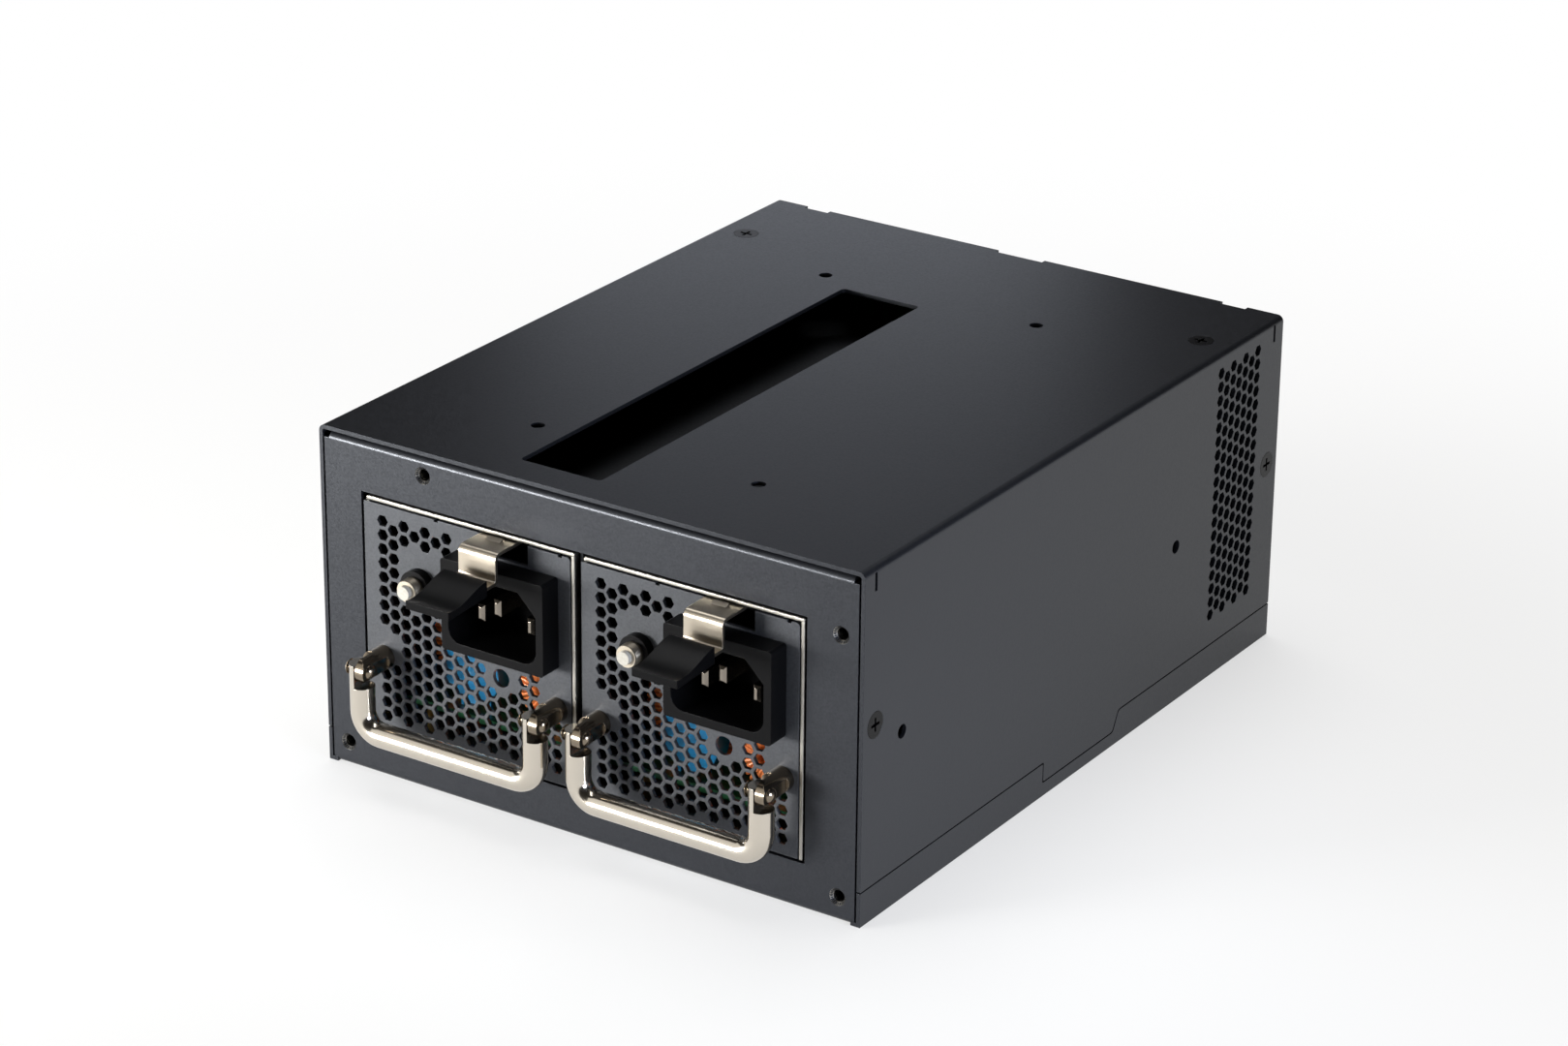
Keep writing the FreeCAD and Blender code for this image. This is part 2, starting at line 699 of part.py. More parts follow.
def plug_slot():
    """Slot of the module's rear wall for the board's edge plug."""
    gap = PLUG_SLOT_GAP
    return block(-PLUG_W / 2 - gap, PLUG_W / 2 + gap, MODULE_REAR - MODULE_T - 1, MODULE_REAR + 1,
                 BOARD_Z - gap, BOARD_TOP + gap)


def lid_screw_cuts():
    """Clearance for the lid's screws."""
    taper = LID_SCREW_HEAD_R - LID_SCREW_R
    tools = []
    for x, y in lid_tabs():
        tool = cone_head(LID_SCREW_HEAD_R, LID_SCREW_R, taper, LID_SCREW_L, SCREW_FIT)
        tools.append(turned(tool, V(x, y, HIGH), V(0, 0, -1)))
    return group(tools)


def module_case():
    """Floor, two side walls and rear wall of a module; the right wall's edge shows at the front."""
    t = MODULE_T
    pieces = [
        block(-HALF, HALF, BEHIND_PANEL, MODULE_REAR, LOW, LOW + t),
        block(-HALF, t - HALF, BEHIND_PANEL, MODULE_REAR, LOW, LID_Z),
        block(HALF - t, HALF, FRONT, MODULE_REAR, LOW, LID_Z),
        block(-HALF, HALF, MODULE_REAR - t, MODULE_REAR, LOW, LID_Z),
    ]
    for x, y in lid_tabs():
        reach = sorted((x - math.copysign(LID_TAB / 2, x), math.copysign(HALF, x)))
        pieces.append(block(*reach, y - LID_TAB / 2, y + LID_TAB / 2, LID_Z - t, LID_Z))
    guard = rod(GUARD_R, V(0, MODULE_REAR - t - 1, FAN_Z), V(0, MODULE_REAR + 1, FAN_Z))
    return join(pieces).cut(group([guard, plug_slot()])).cut(lid_screw_cuts())


def module_lid():
    """Flat plated lid, its front edge flush with the panel."""
    return block(LID_SIDE - HALF, HALF, FRONT, MODULE_REAR, LID_Z, HIGH).cut(lid_screw_cuts())


def lid_screws():
    """Four small countersunk screws of the lid."""
    taper = LID_SCREW_HEAD_R - LID_SCREW_R
    screws = []
    for x, y in lid_tabs():
        screw = cone_head(LID_SCREW_HEAD_R, LID_SCREW_R, taper, LID_SCREW_L)
        screws.append(turned(screw, V(x, y, HIGH), V(0, 0, -1)))
    return group(screws)


def hole_is_open(x, z):
    """Whether the module panel's honeycomb has a hole here, clear of what the panel carries."""
    half = HOLE_AF / 2
    web = half + HOLE_WEB
    inlet_left = INLET_X - INLET_W / 2
    if x > inlet_left - web and z > INLET_LOW - web:
        return False
    if BUTTON_X - CAPTION_LEFT < x < inlet_left and HIGH - CAPTION_LOW < z < HIGH - CAPTION_TOP:
        return False
    if math.hypot(x - BUTTON_X, z - BUTTON_Z) < NUT_R + BUTTON_BARE:
        return False
    if math.hypot(x - INDICATOR_X, z - INDICATOR_Z) < INDICATOR_R + INDICATOR_BARE:
        return False
    for post in POST_X:
        if abs(x - post) < POST_BARE_X and -POST_BARE_BELOW < z - PIVOT_Z < POST_BARE_ABOVE:
            return False
    return True


def module_panel():
    """Perforated front panel with the inlet's cut-out, the latch window and the round holes."""
    place = in_xz(FRONT)
    right = HALF - PANEL_SIDE
    window = LATCH_X - STRIP_W / 2 - WINDOW_GAP
    edge = [(-HALF, LOW), (right, LOW), (right, PANEL_TOP, PANEL_R)]
    relief = NOTCH_W / 2
    for x0, x1, z in ((HALF - NOTCH_RIGHT - relief, HALF - NOTCH_RIGHT + relief, PANEL_TOP - NOTCH_H),
                      (window, window + WINDOW_W, PANEL_TOP - WINDOW_H),
                      (NOTCH_LEFT - HALF - relief, NOTCH_LEFT - HALF + relief, PANEL_TOP - NOTCH_H)):
        edge += [(x1, PANEL_TOP), (x1, z), (x0, z), (x0, PANEL_TOP)]
    wires = [outline(edge + [(-HALF, PANEL_TOP)], place)]
    wires.append(outline(rectangle(INLET_X - INLET_BODY_W / 2, INLET_X + INLET_BODY_W / 2,
                                   INLET_Z - INLET_BODY_H / 2, INLET_Z + INLET_BODY_H / 2), place))
    for x, z, r in ((BUTTON_X, BUTTON_Z, BUSH_R + BUSH_FIT), (INDICATOR_X, INDICATOR_Z, INDICATOR_R)):
        wires.append(Part.Wire(Part.Circle(V(x, FRONT, z), V(0, 1, 0), r).toShape()))
    for x, z in honeycomb(HOLE_SIDE - HALF, HALF - HOLE_SIDE, LOW + HOLE_LOW, HIGH - HOLE_TOP):
        if hole_is_open(x, z):
            wires.append(outline(hexagon(x, z), place))
    return Part.makeFace(wires, "Part::FaceMakerBullseye").extrude(V(0, PANEL_T, 0))


def cavity_corners():
    """Outline of the inlet's cavity: chamfered above, rounded below."""
    x0 = INLET_X - CAVITY_W / 2
    x1 = INLET_X + CAVITY_W / 2
    z0 = CAVITY_Z - CAVITY_H / 2
    z1 = CAVITY_Z + CAVITY_H / 2
    c = CAVITY_CHAMFER
    return [(x0, z0, CAVITY_R), (x1, z0, CAVITY_R), (x1, z1 - c), (x1 - c, z1), (x0 + c, z1), (x0, z1 - c)]


def inlet_housing():
    """Moulded shroud of the mains inlet, standing out of the panel."""
    mouth = FRONT - INLET_OUT
    floor = mouth + CAVITY_DEEP
    rim = slab(rectangle(INLET_X - INLET_W / 2, INLET_X + INLET_W / 2, INLET_LOW, INLET_TOP, INLET_EDGE_R),
               in_xz(mouth), V(0, INLET_OUT, 0))
    body = block(INLET_X - INLET_BODY_W / 2, INLET_X + INLET_BODY_W / 2, mouth, floor + INLET_FLOOR,
                 INLET_Z - INLET_BODY_H / 2, INLET_Z + INLET_BODY_H / 2)
    cavity = slab(cavity_corners(), in_xz(mouth - 1), V(0, CAVITY_DEEP + 1, 0))
    return join([rim, body]).cut(cavity)


def inlet_blades():
    """Two current blades and the longer earth blade above them."""
    floor = FRONT - INLET_OUT + CAVITY_DEEP
    blades = []
    for x, z, out in ((-BLADE_SPREAD, -BLADE_RISE, LINE_OUT), (BLADE_SPREAD, -BLADE_RISE, LINE_OUT),
                      (0.0, BLADE_RISE, EARTH_OUT)):
        cx = INLET_X + x
        cz = CAVITY_Z + z
        blades.append(block(cx - BLADE_T / 2, cx + BLADE_T / 2, FRONT - out, floor,
                            cz - BLADE_H / 2, cz + BLADE_H / 2))
    return group(blades)


def on_button(y):
    """Point on the push switch's axis."""
    return V(BUTTON_X, y, BUTTON_Z)


def reset_switch():
    """Push switch: a box behind the panel and a bored bush through it."""
    half = SWITCH_SIZE / 2
    box = block(BUTTON_X - half, BUTTON_X + half, BEHIND_PANEL, BEHIND_PANEL + SWITCH_L,
                BUTTON_Z - half, BUTTON_Z + half)
    bush = rod(BUSH_R, on_button(FRONT - BUSH_OUT), on_button(BEHIND_PANEL + 1))
    depth = BEHIND_PANEL + PLUNGER_IN + 2 * PLUNGER_TRAVEL
    bore = rod(PLUNGER_R + PLUNGER_FIT, on_button(FRONT - BUSH_OUT - 1), on_button(depth))
    return join([box, bush]).cut(bore)


def reset_nut():
    """Round nut that clamps the push switch to the panel."""
    ring = rod(NUT_R, on_button(FRONT - NUT_T), on_button(FRONT))
    return ring.cut(rod(BUSH_R + BUSH_FIT, on_button(FRONT - NUT_T - 1), on_button(FRONT + 1)))


def reset_button():
    """Plunger of the push switch."""
    return rod(PLUNGER_R, on_button(FRONT - PLUNGER_OUT), on_button(BEHIND_PANEL + PLUNGER_IN))


def pin_at(x, x0, x1, radius):
    """Round bar on the handle's axis beside one post, from x0 to x1 past its middle."""
    return rod(radius, V(x + x0, PIVOT_Y, PIVOT_Z), V(x + x1, PIVOT_Y, PIVOT_Z))


def handle_posts():
    """Two turned posts; each is lapped to a round-nosed lug beside the handle's wire."""
    shoulder = PIVOT_Y + WIRE_R + POST_GAP
    nose = PIVOT_Y - POST_R
    posts = []
    for x in POST_X:
        inner = x + SIDE_GAP / 2
        outer = inner + LUG_W
        bar = rod(POST_R, V(x, nose, PIVOT_Z), V(x, FRONT, PIVOT_Z))
        lap = block(x - POST_R, inner, nose, shoulder, PIVOT_Z - POST_R, PIVOT_Z + POST_R)
        flat_end = PIVOT_Y + LUG_FLAT - POST_R
        flat = join([
            block(outer, x + POST_R, nose, flat_end, PIVOT_Z - POST_R, PIVOT_Z + POST_R),
            rod(POST_R, V(outer, flat_end, PIVOT_Z), V(x + POST_R, flat_end, PIVOT_Z)),
        ])
        square = block(x - POST_R, x + POST_R, nose, PIVOT_Y, PIVOT_Z - POST_R, PIVOT_Z + POST_R)
        corners = square.cut(pin_at(x, -POST_R, POST_R, POST_R))
        posts.append(bar.cut([lap, flat, corners, pin_at(x, 0, POST_R, PIN_R)]))
    return group(posts)


def handle_pins():
    """Rivets through lug and wire, with a low dome at each end."""
    left = -WIRE_R - SIDE_GAP
    right = SIDE_GAP / 2 + LUG_W
    sphere_r = (RIVET_R ** 2 + RIVET_T ** 2) / (2 * RIVET_T)
    pins = []
    for x in POST_X:
        parts = [pin_at(x, left, right, PIN_R)]
        for end, way in ((left, -1), (right, 1)):
            centre = V(x + end + way * (RIVET_T - sphere_r), PIVOT_Y, PIVOT_Z)
            reach = sorted((end, end + way * RIVET_T))
            parts.append(Part.makeSphere(sphere_r, centre).common(pin_at(x, *reach, RIVET_R)))
        pins.append(join(parts))
    return group(pins)


def handle():
    """Wire bail that hangs from the rivets, its ends lapped beside the lugs."""
    low = PIVOT_Z - HANDLE_DROP
    high = PIVOT_Z + WIRE_END
    x0, x1 = POST_X
    bend = HANDLE_BEND
    slant = bend * (1 - math.sqrt(0.5))

    def at(x, z):
        return V(x, PIVOT_Y, z)

    path = Part.Wire([
        Part.LineSegment(at(x0, high), at(x0, low + bend)).toShape(),
        Part.Arc(at(x0, low + bend), at(x0 + slant, low + slant), at(x0 + bend, low)).toShape(),
        Part.LineSegment(at(x0 + bend, low), at(x1 - bend, low)).toShape(),
        Part.Arc(at(x1 - bend, low), at(x1 - slant, low + slant), at(x1, low + bend)).toShape(),
        Part.LineSegment(at(x1, low + bend), at(x1, high)).toShape(),
    ])
    ring = Part.Wire(Part.Circle(at(x0, high), V(0, 0, 1), WIRE_R).toShape())
    wire = path.makePipeShell([ring], True, True)
    for x in POST_X:
        lap = block(x - SIDE_GAP / 2, x + WIRE_R, PIVOT_Y - WIRE_R, PIVOT_Y + WIRE_R,
                    PIVOT_Z - POST_R - LAP_GAP, high)
        wire = wire.cut([lap, pin_at(x, -WIRE_R, WIRE_R, PIN_R + PIN_FIT)])
    return wire


def latch_spring():
    """Plated strip under the lid, folded down in front of the panel, with a lip for the thumb tab."""
    face = FRONT - STRIP_OUT
    back = FRONT + STRIP_ROOT
    t = STRIP_T
    side = [
        (back, STRIP_Z), (face, STRIP_Z, STRIP_BEND), (face, LIP_Z, LIP_BEND - t), (FRONT - LIP_OUT, LIP_Z),
        (FRONT - LIP_OUT, LIP_Z - t), (face + t, LIP_Z - t, LIP_BEND),
        (face + t, STRIP_Z - t, STRIP_BEND - t), (back, STRIP_Z - t),
    ]
    strip = slab(side, in_yz(LATCH_X - STRIP_W / 2), V(STRIP_W, 0, 0))
    start = FRONT - LANCE_OUT
    ramp = [(start, STRIP_Z - t / 2), (start - LANCE_L, STRIP_Z - t / 2), (start, STRIP_Z + LANCE_H)]
    return join([strip, slab(ramp, in_yz(LATCH_X - LANCE_W / 2), V(LANCE_W, 0, 0))])


def latch_tab():
    """Moulded thumb tab on the strip's lip, with an S-shaped top."""
    back = FRONT - TAB_BACK
    front = FRONT - TAB_FRONT
    high = LIP_Z + TAB_RISE
    nose = LIP_Z - TAB_DIP
    under = LIP_Z - TAB_UNDER
    x = LATCH_X - TAB_W / 2
    top = Part.BSplineCurve()
    top.interpolate([V(x, back, high), V(x, back - TAB_SHOULDER[0], high - TAB_SHOULDER[1]),
                     V(x, back - TAB_WAIST[0], nose + TAB_WAIST[1]), V(x, front, nose)])
    edges = [
        top.toShape(),
        Part.LineSegment(V(x, front, nose), V(x, front, nose - TAB_NOSE)).toShape(),
        Part.LineSegment(V(x, front, nose - TAB_NOSE), V(x, back, under)).toShape(),
        Part.LineSegment(V(x, back, under), V(x, back, high)).toShape(),
    ]
    tab = Part.Face(Part.Wire(edges)).extrude(V(TAB_W, 0, 0))
    return tab.cut(latch_spring())


def module_board():
    """Main circuit board with its edge plug at the rear."""
    side = HALF - BOARD_SIDE
    rear = MODULE_REAR - MODULE_T - BOARD_REAR
    return join([
        block(-side, side, FRONT + BOARD_FRONT, rear, BOARD_Z, BOARD_TOP),
        block(-PLUG_W / 2, PLUG_W / 2, rear - 1, MODULE_REAR + PLUG_L, BOARD_Z, BOARD_TOP),
    ])


def board_standoffs():
    """Four pillars under the main board."""
    x = HALF - BOARD_SIDE - STANDOFF_IN
    rear = MODULE_REAR - MODULE_T - BOARD_REAR
    pillars = []
    for px in (-x, x):
        for py in (FRONT + BOARD_FRONT + STANDOFF_IN, rear - STANDOFF_IN):
            pillars.append(rod(STANDOFF_R, V(px, py, LOW + MODULE_T), V(px, py, BOARD_Z)))
    return group(pillars)


def varistor():
    """Round surge disc that stands on two flat leads behind the panel."""
    y0 = FRONT + VARISTOR_IN
    z = BOARD_TOP + VARISTOR_LEAD + VARISTOR_R
    disc = rod(VARISTOR_R, V(VARISTOR_X, y0, z), V(VARISTOR_X, y0 + VARISTOR_T, z))
    middle = y0 + VARISTOR_T / 2
    half = LEAD_T / 2
    leads = []
    for x in (VARISTOR_X - VARISTOR_R / 2, VARISTOR_X + VARISTOR_R / 2):
        leads.append(block(x - half, x + half, middle - half, middle + half, BOARD_TOP, z))
    return join([disc] + leads)


def input_choke():
    """Two wound rings of the mains filter, standing on edge."""
    rings = []
    for x, depth, radius, bore, thick in CHOKES:
        y = FRONT + depth
        z = BOARD_TOP + radius
        ring = rod(radius, V(x, y, z), V(x, y + thick, z))
        rings.append(ring.cut(rod(bore, V(x, y - 1, z), V(x, y + thick + 1, z))))
    return group(rings)


def bulk_capacitor():
    """Upright storage capacitor."""
    y = FRONT + BULK_IN
    return rod(BULK_R, V(BULK_X, y, BOARD_TOP), V(BULK_X, y, BOARD_TOP + BULK_H))


def transformer():
    """Transformer: a ferrite frame round a taped winding."""
    y0 = FRONT + CORE_IN
    half = CORE_W / 2
    w = CORE_WINDOW
    core = block(-half, half, y0 + w, y0 + CORE_L - w, BOARD_TOP, BOARD_TOP + CORE_H)
    winding = block(w - half, half - w, y0, y0 + CORE_L, BOARD_TOP + w, BOARD_TOP + CORE_H - w)
    return join([core, winding])


def heat_sinks():
    """Two finned plates along the board, fins turned inwards."""
    y0 = FRONT + SINK_FRONT
    length = FAN_Y0 - SINK_FAN_GAP - y0
    top = BOARD_TOP + SINK_H
    pitch = (SINK_H - SINK_FIN_T) / SINK_FINS
    sinks = []
    for side in (-1, 1):
        outer = side * SINK_X
        inner = outer - side * SINK_T
        pieces = [block(*sorted((outer, inner)), y0, y0 + length, BOARD_TOP, top)]
        for i in range(1, SINK_FINS + 1):
            z = BOARD_TOP + i * pitch
            fin = sorted((outer, inner - side * SINK_FIN))
            pieces.append(block(*fin, y0, y0 + length, z, z + SINK_FIN_T))
        sinks.append(join(pieces))
    return group(sinks)


def on_fan(y):
    """Point on the fan's axis."""
    return V(0, y, FAN_Z)


def fan_frame():
    """Square fan frame with a bearing boss on four struts at the rear."""
    half = FAN_SIZE / 2
    square = slab(rectangle(-half, half, FAN_Z - half, FAN_Z + half, FAN_R), in_xz(FAN_Y0), V(0, FAN_T, 0))
    frame = square.cut(rod(FAN_BORE_R, on_fan(FAN_Y0 - 1), on_fan(FAN_Y1 + 1)))
    y0 = FAN_Y1 - FAN_STRUT_T
    reach = FAN_BORE_R + FAN_STRUT_LAP
    width = FAN_STRUT / 2
    struts = [block(-reach, reach, y0, FAN_Y1, FAN_Z - width, FAN_Z + width),
              block(-width, width, y0, FAN_Y1, FAN_Z - reach, FAN_Z + reach),
              rod(FAN_BOSS_R, on_fan(y0), on_fan(FAN_Y1))]
    return join([frame] + struts).cut(rod(FAN_SHAFT_R + FAN_SHAFT_FIT, on_fan(y0 - 1), on_fan(FAN_Y1 + 1)))


def fan_rotor():
    """Hub, shaft and slanted blades."""
    y0 = FAN_Y0 + FAN_HUB_GAP
    y1 = FAN_Y1 - FAN_STRUT_T - FAN_HUB_GAP
    hub = rod(FAN_HUB_R, on_fan(y0), on_fan(y1))
    shaft = rod(FAN_SHAFT_R, on_fan(y1 - 1), on_fan(FAN_Y1))
    tip = FAN_BORE_R - FAN_TIP_GAP
    slant = math.radians(FAN_BLADE_PITCH)
    chord = (y1 - y0 - 1 - FAN_BLADE_T) / math.cos(slant)
    blade = block(-FAN_BLADE_T / 2, FAN_BLADE_T / 2, -chord / 2, chord / 2, FAN_HUB_R - 1, tip + 2)
    blade.rotate(V(0, 0, 0), V(0, 0, 1), FAN_BLADE_PITCH)
    blade.translate(on_fan((y0 + y1) / 2))
    sweep = rod(tip, on_fan(y0), on_fan(y1))
    blades = []
    for i in range(FAN_BLADES):
        copy = blade.copy()
        copy.rotate(on_fan(0), V(0, 1, 0), 360 * i / FAN_BLADES)
        blades.append(copy.common(sweep))
    return join([hub, shaft] + blades)


CHASSIS = {
    "chassis_tray": chassis_tray,
    "top_cover": top_cover,
    "cover_screws": cover_screws,
    "cover_brackets": cover_brackets,
    "bay_cage": bay_cage,
    "distribution_board": back_board,
    "board_sockets": back_sockets,
    "output_capacitors": back_capacitors,
    "alarm_buzzer": buzzer,
    "outlet_grommet": outlet_grommet,
}

MODULE = {
    "module_case": module_case,
    "module_lid": module_lid,
    "lid_screws": lid_screws,
    "module_panel": module_panel,
    "inlet_housing": inlet_housing,
    "inlet_blades": inlet_blades,
    "reset_switch": reset_switch,
    "reset_nut": reset_nut,
    "reset_button": reset_button,
    "handle_posts": handle_posts,
    "handle_pins": handle_pins,
    "handle": handle,
    "latch_spring": latch_spring,
    "latch_tab": latch_tab,
    "module_board": module_board,
    "board_standoffs": board_standoffs,
    "varistor": varistor,
    "input_choke": input_choke,
    "bulk_capacitor": bulk_capacitor,
    "transformer": transformer,
    "heat_sinks": heat_sinks,
    "fan_frame": fan_frame,
    "fan_rotor": fan_rotor,
}


def main():
    """Writes every node; a module is drawn about x = 0 and set in its half of the bay."""
    os.makedirs("parts", exist_ok=True)
    for name, make in CHASSIS.items():
        make().exportStep("parts/" + name + ".step")
    for name, make in MODULE.items():
        shape = make()
        for side, x in MODULE_X.items():
            shape.translated(V(x, 0, 0)).exportStep("parts/" + side + "_" + name + ".step")


main()
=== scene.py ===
"""Finishes, fine detail and studio for a twin-module redundant power supply."""

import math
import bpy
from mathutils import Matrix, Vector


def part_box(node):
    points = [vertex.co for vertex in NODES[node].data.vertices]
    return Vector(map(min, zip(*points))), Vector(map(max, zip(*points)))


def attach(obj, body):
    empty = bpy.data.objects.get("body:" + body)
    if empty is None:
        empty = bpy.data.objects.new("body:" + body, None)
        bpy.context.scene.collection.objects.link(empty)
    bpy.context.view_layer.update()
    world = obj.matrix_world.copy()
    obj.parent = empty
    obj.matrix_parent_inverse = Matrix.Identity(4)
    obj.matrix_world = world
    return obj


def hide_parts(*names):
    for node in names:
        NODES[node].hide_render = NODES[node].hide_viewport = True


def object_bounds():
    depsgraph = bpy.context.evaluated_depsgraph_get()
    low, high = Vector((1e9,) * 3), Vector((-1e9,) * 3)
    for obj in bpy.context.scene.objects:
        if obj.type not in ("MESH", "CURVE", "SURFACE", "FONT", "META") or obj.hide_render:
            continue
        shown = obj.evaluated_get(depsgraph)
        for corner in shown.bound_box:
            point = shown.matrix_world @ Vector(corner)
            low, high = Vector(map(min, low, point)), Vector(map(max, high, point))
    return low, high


bl_info = {
    "name": "Redundant power supply",
    "version": (1, 0, 0),
    "blender": (4, 5, 0),
    "location": "3D View > Sidebar > Power supply",
    "description": "Dresses the packed power supply with its finishes and fine detail, and lights it",
    "category": "Object",
}

import bmesh
import bpy
from mathutils import Matrix, Vector

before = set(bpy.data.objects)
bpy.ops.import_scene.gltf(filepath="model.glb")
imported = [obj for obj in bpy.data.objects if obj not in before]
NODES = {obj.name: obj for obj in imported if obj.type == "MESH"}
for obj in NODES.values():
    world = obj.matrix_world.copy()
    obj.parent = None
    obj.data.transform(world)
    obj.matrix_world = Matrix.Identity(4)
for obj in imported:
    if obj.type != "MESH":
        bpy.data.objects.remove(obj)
CAD_LOW, CAD_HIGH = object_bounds()
SIDES = ("left", "right")
MM = 0.001
FILM = 0.02 * MM          # how far a thin added skin stands off the solid
FLOOR_GAP = 0.2 * MM      # floor below the object's feet, so that the two don't share a plane
PHOTO_WIDTH = 1619.0
FOCAL_PIXELS = 4820.7
SENSOR = 36.0
CLIP_NEAR, CLIP_FAR = 0.01, 100.0
NOISE_LOW, NOISE_HIGH = 0.3, 0.7                     # nearly all of a noise texture's values lie between these
MIX_FACTOR, MIX_A, MIX_B, MIX_RESULT = 0, 6, 7, 2    # sockets of a Mix node that mixes colours
EDGE_SAMPLES = 4          # samples of a softened edge
WELD = 0.01 * MM          # points of a solid closer than this are one
STEEP = 0.2               # sine of the angle to the vertical below which a path counts as upright
LATHE_STEPS = 32          # facets round a fixing hole's mouth
THREAD_STEPS = 24         # facets in one turn of a thread
THREAD_FADE = 8           # facets over which a thread starts and ends
THREAD_HALF = 0.45        # half the width of a thread's ridge, in pitches
RING_STEPS = 48           # facets round a choke's core
WIRE_SIDES = 6            # facets round a choke's wire
WIRE_BEND = 1.6           # bend of that wire at a corner of the core, in wire radii
BEND_STEPS = 4            # points along such a bend
# Name, place and aim in metres, width, depth, power in watts, spread of the beam in degrees, tint
SOFT_BOXES = (
    ("Overhead", (-0.3, 0.55, 2.6), (0.0, 0.2, 0.0), 2.2, 2.2, 60.0, 180.0, "#ffffff"),
    ("Key", (-0.46, -0.52, 0.075), (-0.16, -0.11, 0.05), 0.45, 0.13, 1.3, 52.0, "#fffefb"),
    ("Right", (0.5, -0.2, 0.12), (0.075, -0.085, 0.05), 0.2, 0.15, 0.16, 35.0, "#dfe9ff"),
    ("Front card", (-0.94, -1.14, 0.72), (0.0, -0.1, 0.05), 1.3, 1.45, 5.4, 180.0, "#fffdf8"),
    ("Rear card", (-0.28, 0.42, 0.21), (-0.04, 0.08, 0.086), 0.2, 0.08, 0.1, 180.0, "#eef3ff"),
)


def linear(code):
    """Linear colour of an sRGB hex value."""
    parts = [int(code[i:i + 2], 16) / 255 for i in (1, 3, 5)]
    return [c / 12.92 if c <= 0.04045 else ((c + 0.055) / 1.055) ** 2.4 for c in parts]


def per_mm(size):
    """Texture scale at which one cell of a pattern is this many millimetres wide."""
    return 1.0 / (size * MM)


def colour(label, code, about):
    """Colour property with an sRGB default."""
    return bpy.props.FloatVectorProperty(
        name=label, description=about, subtype="COLOR", size=3, min=0.0, max=1.0, default=linear(code))


def length(label, metres, about):
    """Length property in metres."""
    return bpy.props.FloatProperty(
        name=label, description=about, subtype="DISTANCE", unit="LENGTH", min=0.0, default=metres)


class PSU_Finishes(bpy.types.PropertyGroup):
    """Colours of the power supply's finishes."""

    coat: colour("Powder coat", "#191a1d", "Satin black coat of tray and cover")
    coat_grain: length("Coat grain", 0.55 * MM, "Width of the coat's fine grain")
    sheen: colour("Coat sheen", "#e8eefa", "Cool cast of the coat's sheen")
    panel: colour("Module panel", "#343537", "Satin black coat of the perforated panels")
    # Near black that stands in for shade: painted shade on the bay's cage and brackets and on the films.
    shade_lining: colour("Bay black and shade", "#0b0b0c", "Near black of the bay's coat and the films, as painted shade")
    zinc: colour("Zinc plate", "#a5a29b", "Plated sheet and screws of the module cases")
    spring: colour("Spring nickel", "#ada496", "Satin plate of the latch strips")
    nickel: colour("Nickel", "#d2cabd", "Bright nickel on the pull handles")
    # The posts' nickel is a darker copy of the handle's nickel: painted shade.
    post: colour("Handle posts", "#857a6b", "Nickel on the handles' posts and rivets, darkened as painted shade")
    # The blades' nickel is a darker copy of the handle's nickel: painted shade for the shaded inlet cavity.
    blade: colour("Inlet blades", "#8d857b", "Nickel on the inlets' blades, darkened as painted shade")
    steel: colour("Blackened steel", "#1b1b1c", "Oxide black of the cover screws")
    bare: colour("Bare steel", "#8f8c86", "Cut metal in the fixing holes")
    moulding: colour("Black moulding", "#080809", "Black plastic of inlets, latch tabs, nuts and fans")
    bush: colour("Switch bush", "#a39b8d", "Plated bush of the reset switch")
    button: colour("Button", "#9f9c94", "Pale plastic of the reset button")
    mask: colour("Solder mask", "#08331b", "Green of the circuit boards")
    sleeve: colour("Capacitor sleeve", "#15161c", "Shrink sleeve of the capacitors")
    disc: colour("Surge disc", "#0f80b8", "Blue epoxy of the surge disc")
    copper: colour("Copper wire", "#e88343", "Enamelled winding wire")
    core: colour("Ferrite", "#2b2a2b", "Ring cores and transformer")
    aluminium: colour("Aluminium", "#b9bcbe", "Heat sinks")
    brass: colour("Brass", "#b59355", "Board pillars")


